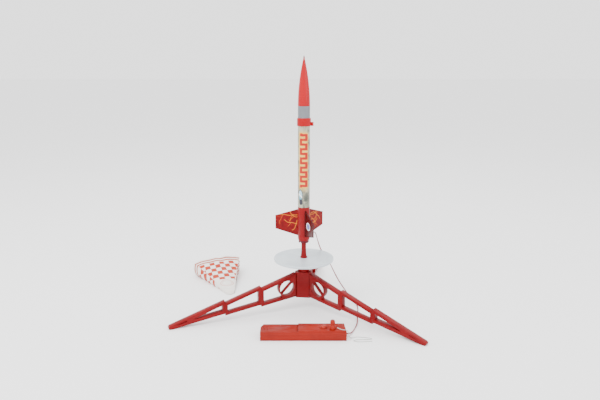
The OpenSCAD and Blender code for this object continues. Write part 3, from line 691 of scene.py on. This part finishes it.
def sweep(name, path, profile, twist=0.0, closed=False):
    """A profile of (side, up) points carried along a path, with a chart: u round, v along."""
    count = len(path)
    verts = []
    lengths = [0.0]
    side = None
    for i, point in enumerate(path):
        before = path[i - 1] if closed else path[max(i - 1, 0)]
        ahead = path[(i + 1) % count] if closed else path[min(i + 1, count - 1)]
        along = (ahead - before).normalized()
        if side is None:
            side = along.cross(Vector((0.3, 0.2, 1.0))).normalized()
        side = (side - along * side.dot(along)).normalized()
        up = along.cross(side)
        if i:
            lengths.append(lengths[-1] + (point - path[i - 1]).length)
        turn = twist * lengths[-1]
        for s, t in profile:
            verts.append(point + side * (s * math.cos(turn) - t * math.sin(turn))
                         + up * (s * math.sin(turn) + t * math.cos(turn)))
    sides = len(profile)
    faces = []
    charts = []
    spans = count if closed else count - 1
    for i in range(spans):
        j = (i + 1) % count
        for k in range(sides):
            n = (k + 1) % sides
            faces.append((i * sides + k, i * sides + n, j * sides + n, j * sides + k))
            u0, u1 = k / sides, (k + 1) / sides
            v0 = lengths[i]
            v1 = lengths[j] if j else v0 + (path[0] - path[i]).length
            charts.append([(u0, v0), (u1, v0), (u1, v1), (u0, v1)])
    if not closed:
        faces.append(tuple(range(sides - 1, -1, -1)))
        faces.append(tuple((count - 1) * sides + k for k in range(sides)))
        charts += [[(0, 0)] * sides, [(0, lengths[-1])] * sides]
    mesh = bpy.data.meshes.new(name)
    mesh.from_pydata(verts, [], faces)
    layer = mesh.uv_layers.new(name="surface")
    flat = [c for chart in charts for corner in chart for c in corner]
    layer.data.foreach_set("uv", flat)
    piece = new_object(name, mesh)
    bm = bmesh.new()
    bm.from_mesh(mesh)
    bmesh.ops.recalc_face_normals(bm, faces=bm.faces)
    bm.to_mesh(mesh)
    bm.free()
    return smooth(piece, 60)


def circle_profile(r, count=12):
    return [(r * math.cos(2 * math.pi * k / count), r * math.sin(2 * math.pi * k / count))
            for k in range(count)]


def route_length(path):
    return sum((b - a).length for a, b in zip(path, path[1:]))


def cad_copy(node, name=None, edge=0.4 * MM, segments=2, angle=30.0):
    """A merged copy of a CAD node with rounded edges, to stand for it."""
    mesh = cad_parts[node].data.copy()
    mesh.materials.clear()
    bm = bmesh.new()
    bm.from_mesh(mesh)
    bmesh.ops.remove_doubles(bm, verts=bm.verts, dist=2e-6)
    bmesh.ops.dissolve_limit(bm, angle_limit=math.radians(0.6), verts=bm.verts, edges=bm.edges)
    bm.to_mesh(mesh)
    bm.free()
    piece = new_object(name or node + "_finished", mesh)
    return bevelled(piece, edge, segments, angle)


def own(piece, body, slot, material, *nodes):
    """Gives a piece its material, its body, its slot and the CAD nodes it stands for."""
    piece.data.materials.clear()
    piece.data.materials.append(material)
    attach(piece, body)
    if nodes:
        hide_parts(*nodes)
    return piece


def coat(node, material):
    """A better material on a CAD node that stays."""
    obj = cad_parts[node]
    obj.data.materials.clear()
    obj.data.materials.append(material)


# ---------- Repeats by Geometry Nodes ----------

class Repeat:
    """A Geometry Nodes tree built in Python, with named inputs."""

    def __init__(self, name, **inputs):
        self.tree = bpy.data.node_groups.new(name, "GeometryNodeTree")
        face = self.tree.interface
        face.new_socket("Geometry", in_out="OUTPUT", socket_type="NodeSocketGeometry")
        for label, value in inputs.items():
            kind = "NodeSocketInt" if isinstance(value, int) else "NodeSocketFloat"
            if isinstance(value, tuple):
                kind = "NodeSocketVector"
            port = face.new_socket(label, in_out="INPUT", socket_type=kind)
            port.default_value = value
        self.values = inputs
        self.entry = self.tree.nodes.new("NodeGroupInput")
        self.exit = self.tree.nodes.new("NodeGroupOutput")

    def add(self, kind, settings=None, out=0, **ports):
        node = self.tree.nodes.new(kind)
        for key, value in (settings or {}).items():
            setattr(node, key, value)
        for port, value in ports.items():
            target = node.inputs[port.replace("_", " ")]
            if isinstance(value, str):
                self.tree.links.new(self.entry.outputs[value], target)
            elif isinstance(value, bpy.types.NodeSocket):
                self.tree.links.new(value, target)
            else:
                target.default_value = value
        return node.outputs[out]

    def piece(self, name, geometry, material, move=None):
        """Ends the tree, runs it once and keeps the plain mesh."""
        solid = self.add("GeometryNodeRealizeInstances", Geometry=geometry)
        done = self.add("GeometryNodeSetMaterial", Geometry=solid, Material=material)
        self.tree.links.new(done, self.exit.inputs[0])
        piece = new_object(name, bpy.data.meshes.new(name))
        modifier = piece.modifiers.new(name, "NODES")
        modifier.node_group = self.tree
        for item in self.tree.interface.items_tree:
            if item.in_out == "INPUT":
                modifier[item.identifier] = self.values[item.name]
        settle(piece)
        if move is not None:
            piece.data.transform(move)
        return piece


def row_of(name, shape, count, step, material, move):
    """count copies of a small shape in a row."""
    tree = Repeat(name + "_row", Count=count, Step=Vector(step).to_tuple())
    line = tree.add("GeometryNodeMeshLine", Count="Count", Offset="Step")
    seed = tree.add("GeometryNodeObjectInfo", out="Geometry", Object=shape)
    copies = tree.add("GeometryNodeInstanceOnPoints", Points=line, Instance=seed)
    return tree.piece(name, copies, material, move)


def coil_of(name, r0, r1, height, turns, wire, material, move):
    """A coil spring of round wire that widens from r0 to r1."""
    tree = Repeat(name + "_coil", Turns=float(turns), Start=r0, End=r1, Height=height, Wire=wire)
    path = tree.add("GeometryNodeCurveSpiral", Resolution=24, Rotations="Turns",
                    Start_Radius="Start", End_Radius="End", Height="Height")
    around = tree.add("GeometryNodeCurvePrimitiveCircle", Resolution=10, Radius="Wire")
    solid = tree.add("GeometryNodeCurveToMesh", Curve=path, Profile_Curve=around, Fill_Caps=True)
    return tree.piece(name, solid, material, move)


def seed_box(size):
    """A small rounded bar that a repeat copies; it is removed afterwards."""
    bm = bmesh.new()
    bmesh.ops.create_cube(bm, size=1.0)
    bmesh.ops.scale(bm, vec=Vector(size), verts=bm.verts)
    bmesh.ops.bevel(bm, geom=bm.edges[:], offset=min(size) * 0.3, segments=2, profile=0.5,
                    affect="EDGES")
    mesh = bpy.data.meshes.new("seed")
    bm.to_mesh(mesh)
    bm.free()
    return new_object("seed", mesh)


# ---------- Stage ----------

def build_stage(s):
    scene = bpy.context.scene
    lens = bpy.data.cameras.new("camera")
    lens.lens = CAMERA_LENS
    lens.sensor_width = 36.0
    lens.clip_end = 60.0
    camera = bpy.data.objects.new("camera", lens)
    camera.location = CAMERA_PLACE
    camera.rotation_euler = (math.pi / 2 - CAMERA_PITCH, 0, 0)
    scene.collection.objects.link(camera)
    scene.camera = camera
    floor = from_lists("floor", [(-20, -20, 0), (20, -20, 0), (20, 20, 0), (-20, 20, 0)],
                       [(0, 1, 2, 3)], tidy=False)
    f = Finish("studio_floor")
    cloud = f.noise(0.4, detail=2.0)
    f.set(Base_Color=f.mix(cloud, (0.93, 0.93, 0.935), (0.95, 0.95, 0.95)), Roughness=0.75,
          Specular_IOR_Level=0.15)
    floor.data.materials.append(f.material)
    world = bpy.data.worlds.new("studio")
    world.use_nodes = True
    world.node_tree.nodes["Background"].inputs["Color"].default_value = (1, 1, 1, 1)
    world.node_tree.nodes["Background"].inputs["Strength"].default_value = s.sky
    scene.world = world
    aim = Vector((0, 0, 0.2))
    for name, place, size, power in (("key", (-0.9, -0.9, 1.9), 1.1, s.key),
                                     ("fill", (1.5, -1.1, 1.0), 1.4, s.key * 0.25),
                                     ("top", (0.1, 0.9, 2.2), 1.6, s.key * 0.4)):
        light = bpy.data.lights.new(name, "AREA")
        light.shape = "DISK"
        light.size = size
        light.energy = power
        lamp = bpy.data.objects.new(name, light)
        lamp.location = place
        lamp.rotation_euler = (aim - Vector(place)).to_track_quat("-Z", "Y").to_euler()
        scene.collection.objects.link(lamp)


# ---------- Cords ----------

def build_lead(s):
    """Two insulated cores side by side, from the clips to the controller."""
    path = smooth_route(LEAD_ROUTE, 6)
    core = LEAD_WIDTH * 0.32
    half = [(LEAD_WIDTH / 2 - core + core * math.cos(a), core * math.sin(a))
            for a in (math.radians(-125 + 250 * k / 8) for k in range(9))]
    profile = half + [(-x, -y) for x, y in half]
    wire = sweep("lead_twin", path, profile, twist=35.0)
    own(wire, "root", "lead_red", rubbery("lead_vinyl", (0.22, 0.001, 0.009), 0.45), "lead_wire")
    route_length(path)
    end = LEAD_ROUTE[-1]
    inner = low("lead_grommet").x - end.x
    outline = [(0, 0)] + [(1.1 * MM + 1.2 * MM * k / 4, -h) for k in range(5)
                          for h in (1.1 * MM * k, 1.1 * MM * k + 0.5 * MM)] + [(0, inner)]
    turn = Matrix.Translation(end) @ Matrix.Rotation(math.radians(90), 4, "Y")
    boot = lathe("lead_grommet_ribbed", outline, segments=32, spin=turn)
    own(boot, "root", "lead_red", rubbery("grommet_vinyl", (0.13, 0.004, 0.008), 0.5),
        "lead_grommet")


def build_key_cord(s):
    path = smooth_route(KEY_CORD_ROUTE, 6)
    cord = sweep("key_cord_braid", path, circle_profile(KEY_CORD_DIAMETER / 2, 10))
    cord.data.materials.append(braid())
    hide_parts("key_cord")
    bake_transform(cord)
    route_length(path)


# ---------- Launch pad ----------

PAD = ("pad_moulding", (0.17, 0.0004, 0.002), 0.42, 0.03, 1.0)


def build_legs(s):
    for part in ("inner", "middle", "tip"):
        for side in ("left", "right", "rear"):
            node = f"leg_{part}_{side}"
            piece = cad_copy(node, edge=s.edge, segments=3)
            own(piece, "root", "pad_red", moulded(*PAD), node)


def build_hub(s):
    for node in ("hub", "rod_holder", "standoff"):
        own(cad_copy(node, edge=s.edge, segments=3), "root", "pad_red", moulded(*PAD), node)


def build_plate(s):
    """Pressed sheet with a rolled rim and two shallow stiffening rings."""
    lo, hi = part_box("blast_plate")
    r = hi.x
    top = hi.z
    inner = 2.56 * MM
    sheet = 1.4 * MM
    face = []
    for k in range(60):
        x = inner + (r - 2.4 * MM - inner) * k / 59
        dip = sum(0.3 * MM * math.exp(-((x - c) / (1.1 * MM)) ** 2) for c in (16 * MM, 52 * MM))
        face.append((x, top - 0.3 * MM - dip))
    rim = arc(r - 1.2 * MM, top - 1.2 * MM, 1.2 * MM, 110, 0, 10)
    rim += arc(r - 0.65 * MM, lo.z + 0.65 * MM, 0.65 * MM, 0, -180, 10)
    rim.append((r - 1.3 * MM, top - sheet - 0.4 * MM))
    under = [(x, z - sheet + 0.3 * MM) for x, z in reversed(face)]
    piece = lathe("blast_plate_pressed", face + rim + under, segments=160, closed=True)
    own(piece, "blast_plate", "plate", plate_paint(), "blast_plate")


# ---------- Rocket ----------

def build_nose(s):
    r = radius("body_tube")
    base = high("upper_tube").z + 0.1 * MM
    height = high("nose_cone").z - base
    foot = low("nose_cone").z
    shoulder = 11.84 * MM
    wall = 1.4 * MM
    big = (height * height + r * r) / (2 * r)

    def ogive(z):
        return math.sqrt(big * big - z * z) + r - big

    outer = [(ogive(z), base + z) for z in (0.94 * height * k / 60 for k in range(61))]
    blunt = outer[-1][0]
    outer += [(blunt * math.cos(a), base + height * (0.94 + 0.06 * math.sin(a)))
              for a in (math.pi / 2 * k / 10 for k in range(1, 11))]
    outer[-1] = (0, high("nose_cone").z)
    neck = [(shoulder - wall, foot), (shoulder - 0.5 * MM, foot), (shoulder, foot + 0.6 * MM),
            (shoulder, base - 5 * MM), (shoulder - 0.15 * MM, base - 4.6 * MM),
            (shoulder - 0.15 * MM, base - 0.2 * MM), (r - 0.3 * MM, base),
            (r, base + 0.25 * MM)]
    inside = [(max(0.0, min(ogive(z + 11 * MM) - wall, shoulder - wall)), base + z)
              for z in (0.8 * height * (1 - k / 14) for k in range(15))]
    inside[0] = (0, base + 0.82 * height)
    piece = lathe("nose_cone_gloss", neck + outer[1:] + inside + [(shoulder - wall, foot)],
                  segments=112)
    own(piece, "nose", "rocket_red", nose_plastic(), "nose_cone")
    own(cad_copy("nose_base", edge=0.3 * MM), "nose", "rocket_red",
        moulded("nose_base_red", (0.72, 0.03, 0.05), 0.4, 0.1, 1.0), "nose_base")


def build_tubes(s):
    for node, material, slot in (("body_tube", printed_tube(), "tube_print"),
                                 ("upper_tube", grey_card(), "grey_tube")):
        r = high(node).x
        piece = lathe(node + "_wound", tube_outline(r, r - 0.5 * MM, low(node).z, high(node).z,
                                                    0.12 * MM), segments=112, closed=True)
        own(piece, "rocket", slot, material, node)
    own(cad_copy("lug_ring", edge=0.35 * MM), "rocket", "rocket_red",
        moulded("ring_gloss_red", (0.33, 0.0008, 0.004), 0.32, 0.06, 0.6), "lug_ring")
    coat("tube_coupler", card("coupler_card", (0.52, 0.42, 0.28)))


def bolt_paths(rng, start, heading, length, depth=0):
    """A jagged branching line: lists of points on the fin, in metres."""
    point = Vector(start)
    path = [point.copy()]
    found = []
    steps = max(3, int(length / (3.2 * MM)))
    for k in range(steps):
        heading += rng.uniform(-0.55, 0.55)
        point = point + Vector((math.cos(heading), math.sin(heading))) * (length / steps)
        path.append(point.copy())
        if depth < 2 and rng.random() < 0.3:
            found += bolt_paths(rng, point, heading + rng.choice((-1, 1)) * rng.uniform(0.5, 1.0),
                                length * rng.uniform(0.3, 0.55), depth + 1)
    return [(path, depth)] + found


def bolt_field(points, bolts):
    """Nearest distance of each point to the bolts, thinner where a bolt branches."""
    best = np.full(len(points), 1.0)
    for path, depth in bolts:
        for a, b in zip(path, path[1:]):
            a = np.array(a)
            span = np.array(b) - a
            t = np.clip(((points - a) @ span) / (span @ span), 0, 1)
            gap = np.linalg.norm(points - a - t[:, None] * span, axis=1)
            best = np.minimum(best, gap + depth * 0.22 * MM)
    return best


def build_fins(s):
    can = radius("fin_can")
    tip = 61.6 * MM
    root = can - 0.65 * MM
    for index, (node, degrees) in enumerate(FIN_TURN.items()):
        z0 = low(node).z
        z1 = high(node).z
        sweep_back = 16 * MM
        chord = 29 * MM
        across, along = 104, 112
        half = 1.2 * MM
        flat = []
        depth = []
        for i in range(across + 1):
            r = root + (tip - root) * i / across
            share = (r - root) / (tip - root)
            top = z1 - sweep_back * share
            bottom = z0 + (z1 - sweep_back - chord - z0) * share
            for j in range(along + 1):
                z = bottom + (top - bottom) * j / along
                edge = min(tip - r, z - bottom, top - z)
                fillet = max(0.0, 1.0 - (r - can) / (1.6 * MM)) ** 2 * 1.0 * MM
                thick = half * (0.3 + 0.7 * math.sin(min(1.0, edge / (2.4 * MM)) * math.pi / 2))
                flat.append((r, z))
                depth.append(thick + (fillet if edge > 1.0 * MM else 0.0))
        turn = Matrix.Rotation(math.radians(degrees), 4, "Z")
        verts = [turn @ Vector((r, side * d, z)) for side in (-1, 1)
                 for (r, z), d in zip(flat, depth)]
        count = len(flat)
        faces = []
        for side in (0, 1):
            for i in range(across):
                for j in range(along):
                    a = side * count + i * (along + 1) + j
                    quad = (a, a + along + 1, a + along + 2, a + 1)
                    faces.append(quad if side == 0 else quad[::-1])
        rim = [i * (along + 1) for i in range(across + 1)] \
            + [across * (along + 1) + j for j in range(1, along + 1)] \
            + [i * (along + 1) + along for i in range(across - 1, -1, -1)] \
            + [j for j in range(along - 1, 0, -1)]
        for a, b in zip(rim, rim[1:] + rim[:1]):
            faces.append((a, a + count, b + count, b))
        piece = from_lists(node + "_labelled", verts, faces, tidy=False)
        bm = bmesh.new()
        bm.from_mesh(piece.data)
        bmesh.ops.recalc_face_normals(bm, faces=bm.faces)
        bm.to_mesh(piece.data)
        bm.free()
        smooth(piece, 50)
        rng = random.Random(11 + index)
        spots = np.array(flat)
        bolts = []
        # The front fin gets no bolts, which keeps it dark as painted shade.
        spread = () if node == "fin_front" else (
            (0.78, -0.10, 46), (0.70, -0.45, 44), (0.58, -0.95, 26), (0.45, -0.2, 30))
        for share, heading, reach in spread:
            start = (root + 2 * MM, z0 + (z1 - z0) * share)
            bolts += bolt_paths(rng, start, heading, reach * MM)
        gap = bolt_field(spots, bolts)
        centre = np.array((root + 20 * MM, z0 + 28 * MM))
        oval = ((spots[:, 0] - centre[0]) / (12 * MM)) ** 2 + ((spots[:, 1] - centre[1])
                                                              / (8.5 * MM)) ** 2
        for label, values in (("bolt", np.exp(-(gap / (0.5 * MM)) ** 1.8)),
                              ("haze", 0.5 * np.exp(-gap / (2.2 * MM))), ("badge", oval)):
            layer = piece.data.attributes.new(label, "FLOAT", "POINT")
            layer.data.foreach_set("value", np.concatenate([values, values]).astype(np.float32))
        own(piece, "rocket", "fin_print", fin_print(node == "fin_front"), node)


def build_fin_can(s):
    lo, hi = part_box("fin_can")
    r = radius("fin_can")
    inner = 11.0 * MM
    spigot = 15 * MM
    top = hi.z - spigot
    outer = [(inner, lo.z), (r - 1.3 * MM, lo.z), (r - 1.1 * MM, lo.z + 0.2 * MM)]
    outer += [(r - 1.1 * MM + 1.1 * MM * math.sin(k / 6 * math.pi / 2), lo.z + 8 * MM * k / 6)
              for k in range(1, 7)]
    for height in (9.2, 70.0):
        z = lo.z + height * MM
        outer += [(r, z - 0.5 * MM), (r - 0.18 * MM, z - 0.2 * MM), (r - 0.18 * MM, z + 0.2 * MM),
                  (r, z + 0.5 * MM)]
    outer += [(r, top - 0.3 * MM), (r - 0.3 * MM, top), (r - 0.83 * MM, top),
              (r - 0.83 * MM, hi.z - 0.6 * MM), (r - 1.2 * MM, hi.z), (inner, hi.z)]
    piece = lathe("fin_can_moulded", outer, segments=112, closed=True)
    own(piece, "rocket", "rocket_red",
        moulded("fin_can_red", (0.20, 0.0006, 0.003), 0.34, 0.06, 0.7), "fin_can")


def build_engine(s):
    # The retainer's red is darkened as painted shade.
    own(cad_copy("engine_retainer", edge=0.35 * MM), "retainer", "retainer_red",
        moulded("retainer_dark_red", (0.09, 0.006, 0.012), 0.42, 0.12, 1.0), "engine_retainer")
    for node, material in (
            ("motor_tube", card("motor_card", (0.50, 0.40, 0.25))),
            ("centering_rings", card("ring_card", (0.46, 0.36, 0.22))),
            ("thrust_ring", card("thrust_card", (0.20, 0.30, 0.14))),
            ("engine_casing", card("casing_card", (0.45, 0.33, 0.19))),
            ("engine_nozzle", rubbery("nozzle_clay", (0.36, 0.32, 0.27), 0.85)),
            ("engine_cap", rubbery("cap_clay", (0.40, 0.36, 0.30), 0.88)),
            ("engine_grain", rubbery("black_charge", (0.03, 0.03, 0.032), 0.7)),
            ("shock_cord", rubbery("elastic_weave", (0.80, 0.74, 0.62), 0.9)),
            ("recovery_wadding", rubbery("wadding_tissue", (0.62, 0.55, 0.38), 0.95))):
        coat(node, material)
    turn = Matrix.Rotation(ENGINE_TURN, 4, "Z")
    base = low("engine_casing").z
    strands = []
    for side in (-1, 1):
        points = [Vector(p) * MM for p in (
            (0.6, side * 0.5, 9), (0.6, side * 0.5, -1.2), (2.5, side * 0.7, -2.0),
            (5.9, side * 0.9, -2.7), (6.5, side * 1.8, -5), (9.5, side * 2.2, -5.2),
            (14, side * 2.2, -5.2))]
        path = [turn @ (p + Vector((0, 0, base))) for p in smooth_route(points, 5)]
        strands.append(sweep(f"strand_{side}", path, circle_profile(0.26 * MM, 10)))
    own(joined_mesh("igniter_strands", strands), "rocket", "copper",
        metal("bare_copper", (0.80, 0.42, 0.24), 0.28), "igniter")
    own(cad_copy("igniter_plug", edge=0.3 * MM), "rocket", "plug_blue",
        rubbery("plug_vinyl", (0.05, 0.14, 0.55), 0.35), "igniter_plug")


def build_clips(s):
    """Two small spring clips with toothed jaws, in one moulded boot."""
    turn = Matrix.Rotation(ENGINE_TURN, 4, "Z")
    z = low("engine_casing").z - 5.2 * MM
    teeth = seed_box((0.5 * MM, 0.3 * MM, 2.0 * MM))
    jaws = [cad_copy("clip_jaws", "jaws", edge=0.12 * MM)]
    brass = metal("clip_brass", (0.78, 0.60, 0.28), 0.3)
    for side in (-1, 1):
        for face in (-1, 1):
            place = turn @ Matrix.Translation(
                Vector((10.6 * MM, (side * 2.2 + face * 0.62) * MM, z)))
            jaws.append(row_of(f"teeth_{side}_{face}", teeth, 6, (1.0 * MM, 0, 0), brass, place))
    bpy.data.objects.remove(teeth)
    own(joined_mesh("clip_jaws_toothed", jaws), "root", "brass", brass, "clip_jaws")
    own(cad_copy("clip_boot", edge=0.4 * MM, segments=3), "root", "lead_red",
        rubbery("boot_vinyl", (0.13, 0.001, 0.008), 0.45), "clip_boot")


# ---------- Controller ----------

CASE = ("controller_moulding", (0.23, 0.009, 0.003), 0.48, 0.02, 1.2)


def build_controller(s):
    for node, edge in (("controller_base", 0.8 * MM), ("controller_cover", 0.6 * MM)):
        own(cad_copy(node, edge=edge, segments=3), "root", "controller_red", moulded(*CASE), node)
    door = cad_copy("battery_door", "door", edge=0.25 * MM)
    own(door, "battery_door", "controller_red", moulded(*CASE), "battery_door")
    own(cad_copy("controller_screws", edge=0.2 * MM), "root", "spring_steel",
        metal("screw_zinc", (0.66, 0.66, 0.68), 0.3), "controller_screws")
    own(cad_copy("switch_board", edge=0.15 * MM), "root", "board",
        rubbery("board_resin", (0.36, 0.22, 0.09), 0.5), "switch_board")
    own(cad_copy("lamp", edge=0.2 * MM), "root", "bulb",
        rubbery("lamp_glass", (0.85, 0.80, 0.60), 0.1), "lamp")
    # Moulded ring round the button
    centre = middle("launch_button")
    top = high("controller_cover").z
    r = (high("launch_button").x - low("launch_button").x) / 2 - 1.0 * MM
    ring = lathe("button_surround", arc(r + 1.5 * MM, 0, 0.7 * MM, 190, -10, 10)
                 + [(r + 0.9 * MM, -0.3 * MM)], centre=Vector((centre.x, centre.y, top)),
                 segments=64, closed=True)
    own(ring, "root", "controller_red", moulded(*CASE))


def build_controls(s):
    lo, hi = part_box("launch_button")
    c = middle("launch_button")
    r = (hi.x - lo.x) / 2
    cap = r - 1.0 * MM
    top = high("controller_cover").z
    outline = [(0, lo.z), (r - 0.2 * MM, lo.z), (r, lo.z + 0.2 * MM), (r, lo.z + 1.1 * MM),
               (r - 0.2 * MM, lo.z + 1.3 * MM), (cap, lo.z + 1.35 * MM),
               (cap, top + 0.6 * MM)]
    rise = hi.z - top - 0.6 * MM
    outline += [(cap * math.cos(a), top + 0.6 * MM + rise * math.sin(a) ** 0.9)
                for a in (math.pi / 2 * k / 14 for k in range(1, 15))]
    outline[-1] = (0, hi.z)
    piece = lathe("launch_button_dome", outline, centre=Vector((c.x, c.y, 0)), segments=80)
    own(piece, "launch_button", "button_red", translucent_red(), "launch_button")
    lo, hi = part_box("button_spring")
    coil = coil_of("button_coil", 3.0 * MM, 3.0 * MM, hi.z - lo.z - 0.8 * MM, 4, 0.32 * MM,
                   metal("spring_wire", (0.62, 0.63, 0.66), 0.25),
                   Matrix.Translation(Vector((middle("button_spring").x,
                                              middle("button_spring").y, lo.z + 0.4 * MM))))
    own(coil, "root", "spring_steel", metal("spring_wire", (0.62, 0.63, 0.66), 0.25),
        "button_spring")
    key = cad_copy("safety_key", edge=0.4 * MM, segments=3)
    own(key, "safety_key", "controller_red",
        moulded("key_moulding", (0.24, 0.009, 0.003), 0.38, 0.05, 1.0), "safety_key")


def build_batteries(s):
    own(cad_copy("batteries", edge=0.7 * MM, segments=3), "root", "cell_jacket", cell_jacket(),
        "batteries")
    steel = metal("spring_wire", (0.62, 0.63, 0.66), 0.25)
    end = high("battery_springs").x
    coils = []
    for side in (-1, 1):
        place = Matrix.Translation(Vector((end - 0.3 * MM, middle("battery_springs").y
                                           + side * 7.5 * MM, middle("battery_springs").z))) \
            @ Matrix.Rotation(math.radians(-90), 4, "Y")
        coils.append(coil_of(f"cell_coil_{side}", 2.2 * MM, 3.8 * MM, 3.4 * MM, 4, 0.3 * MM,
                             steel, place))
    own(joined_mesh("cell_springs", coils), "root", "spring_steel", steel, "battery_springs")
    own(cad_copy("battery_plates", edge=0.1 * MM), "root", "brass",
        metal("contact_brass", (0.78, 0.60, 0.28), 0.3), "battery_plates")


# ---------- Parachute ----------

def build_parachute(s):
    """An eight-gore film canopy folded gore on gore, crown in front, hem puffed behind."""
    crown = Matrix.Translation(Vector((-166, 70, 0)) * MM) @ Matrix.Rotation(
        math.radians(109.5), 4, "Z")
    apothem = 0.1524
    gores = 8
    across, along = 26, 44
    spread = math.radians(41)
    bm = bmesh.new()
    layer = bm.loops.layers.uv.new("surface")
    rng = random.Random(5)
    waves = [(rng.uniform(16, 90), rng.uniform(16, 90), rng.uniform(0, 6.3),
              rng.uniform(0.4, 1.0)) for k in range(9)]

    def wave(x, y, level):
        return sum(w * math.sin(a * x + b * y + c + level * 1.7)
                   for a, b, c, w in waves) / len(waves)

    for gore in range(gores):
        grid = []
        right = gore % 2 == 0
        for i in range(across + 1):
            share = i / across
            column = []
            for j in range(along + 1):
                out = j / along
                flat_u = (share - 0.5) * 2 * math.tan(math.pi / gores) * apothem * out
                flat_v = apothem * out
                rise = 0.0
                level = 1.0 - (gore + share) / gores
                lay = share
                if gore == gores - 1:
                    lay = min(1.0, share / 0.82)
                    level = 0.02
                    rise = max(0.0, (share - 0.82) / 0.18)
                angle = (lay - 0.5) * spread * (-1 if right else 1)
                reach = math.hypot(flat_u, flat_v)
                height = (0.8 + 4.0 * (1 - math.exp(-out / 0.04)) + 40.0 * out ** 1.1) * MM
                round_off = math.cos((lay - 0.5) * math.pi * 0.92) ** 0.5
                level += rise * (1 - level)
                z = 0.4 * MM + height * level * (0.72 + 0.28 * round_off)
                z *= 1.0 - 0.24 * out * angle / spread
                z += wave(flat_u * 3, flat_v, gore) * 3.2 * MM * out * round_off
                bulge = math.sin(math.pi * min(1.0, max(0.0, level))) * MM * out
                bulge *= 1.6 if rise == 0 else 3.6
                side = math.copysign(1, angle) * abs((lay - 0.5) * 2) ** 6 * bulge
                x = reach * math.cos(angle) + wave(flat_u * 2, 0.1, gore + 3) * 2.2 * MM * out ** 4
                y = reach * math.sin(angle) + side
                bunch = (1 - out) ** 2 * abs(lay - 0.5) * 2
                y += math.copysign(9 * MM, angle) * bunch
                x += (1 - out) * bunch * 5 * MM
                column.append((bm.verts.new(crown @ Vector((x, y, max(z, 0.3 * MM)))),
                               (flat_u, flat_v)))
            grid.append(column)
        for i in range(across):
            for j in range(along):
                ring = (grid[i][j], grid[i + 1][j], grid[i + 1][j + 1], grid[i][j + 1])
                face = bm.faces.new([v for v, uv in ring])
                for loop, (v, uv) in zip(face.loops, ring):
                    loop[layer].uv = uv
    bmesh.ops.remove_doubles(bm, verts=bm.verts, dist=2e-5)
    bmesh.ops.recalc_face_normals(bm, faces=bm.faces)
    mesh = bpy.data.meshes.new("parachute_folded")
    bm.to_mesh(mesh)
    bm.free()
    piece = smooth(new_object("parachute_folded", mesh), 60)
    own(piece, "root", "chute_print", film(), "parachute")


# ---------- Operators ----------

class RocketSettings(bpy.types.PropertyGroup):
    """Values that the operators share."""
    edge: bpy.props.FloatProperty(
        name="Edge rounding", description="Radius on the edges of the moulded pad parts",
        default=0.0006, min=0.0001, max=0.002, precision=5, unit="LENGTH", subtype="DISTANCE")
    key: bpy.props.FloatProperty(
        name="Key light", description="Power of the main studio light in watts",
        default=40.0, min=0.0, max=400.0, unit="POWER")
    sky: bpy.props.FloatProperty(
        name="Sky", description="Strength of the even white light from all round",
        default=2.2, min=0.0, max=10.0, subtype="FACTOR")


def operator(label, note, build):
    """An operator class that runs one build step."""
    def execute(self, context):
        build(context.scene.rocket_settings)
        return {"FINISHED"}

    name = build.__name__.replace("build_", "")
    return type("ROCKET_OT_" + name, (bpy.types.Operator,), {
        "__doc__": note, "bl_idname": "rocket." + name, "bl_label": label,
        "bl_options": {"REGISTER", "UNDO"}, "execute": execute})


OPERATORS = [operator(*row) for row in (
    ("Set the stage", "Camera, lights and floor", build_stage),
    ("Lay the lead", "Twin lead and its grommet", build_lead),
    ("Lay the key cord", "Braided cord of the safety key", build_key_cord),
    ("Build the legs", "Nine moulded leg sections", build_legs),
    ("Build the hub", "Hub, rod holder and stand-off", build_hub),
    ("Build the blast plate", "Pressed plate with rolled rim", build_plate),
    ("Build the nose", "Nose cone and its base", build_nose),
    ("Build the tubes", "Printed tube, grey tube and lug ring", build_tubes),
    ("Build the fin can", "Moulded fin can", build_fin_can),
    ("Build the fins", "Three labelled fins", build_fins),
    ("Build the engine", "Retainer, engine and igniter", build_engine),
    ("Build the clips", "Spring clips and their boot", build_clips),
    ("Build the controller", "Case, door, screws and board", build_controller),
    ("Build the controls", "Launch button, its spring and the safety key", build_controls),
    ("Build the batteries", "Cells, springs and contacts", build_batteries),
    ("Fold the parachute", "Folded film canopy", build_parachute))]


class ROCKET_PT_panel(bpy.types.Panel):
    """Sidebar panel with the settings and one button per piece"""
    bl_label = "Model rocket"
    bl_idname = "ROCKET_PT_panel"
    bl_space_type = "VIEW_3D"
    bl_region_type = "UI"
    bl_category = "Rocket"

    def draw(self, context):
        settings = context.scene.rocket_settings
        for name in ("edge", "key", "sky"):
            self.layout.prop(settings, name)
        for kind in OPERATORS:
            self.layout.operator(kind.bl_idname)


CLASSES = (RocketSettings, *OPERATORS, ROCKET_PT_panel)


def register():
    for kind in CLASSES:
        bpy.utils.register_class(kind)
    bpy.types.Scene.rocket_settings = bpy.props.PointerProperty(type=RocketSettings)


def unregister():
    del bpy.types.Scene.rocket_settings
    for kind in reversed(CLASSES):
        bpy.utils.unregister_class(kind)


def main():
    register()
    for kind in OPERATORS:
        getattr(bpy.ops.rocket, kind.bl_idname.split(".")[1])()


if __name__ == "__main__":
    main()
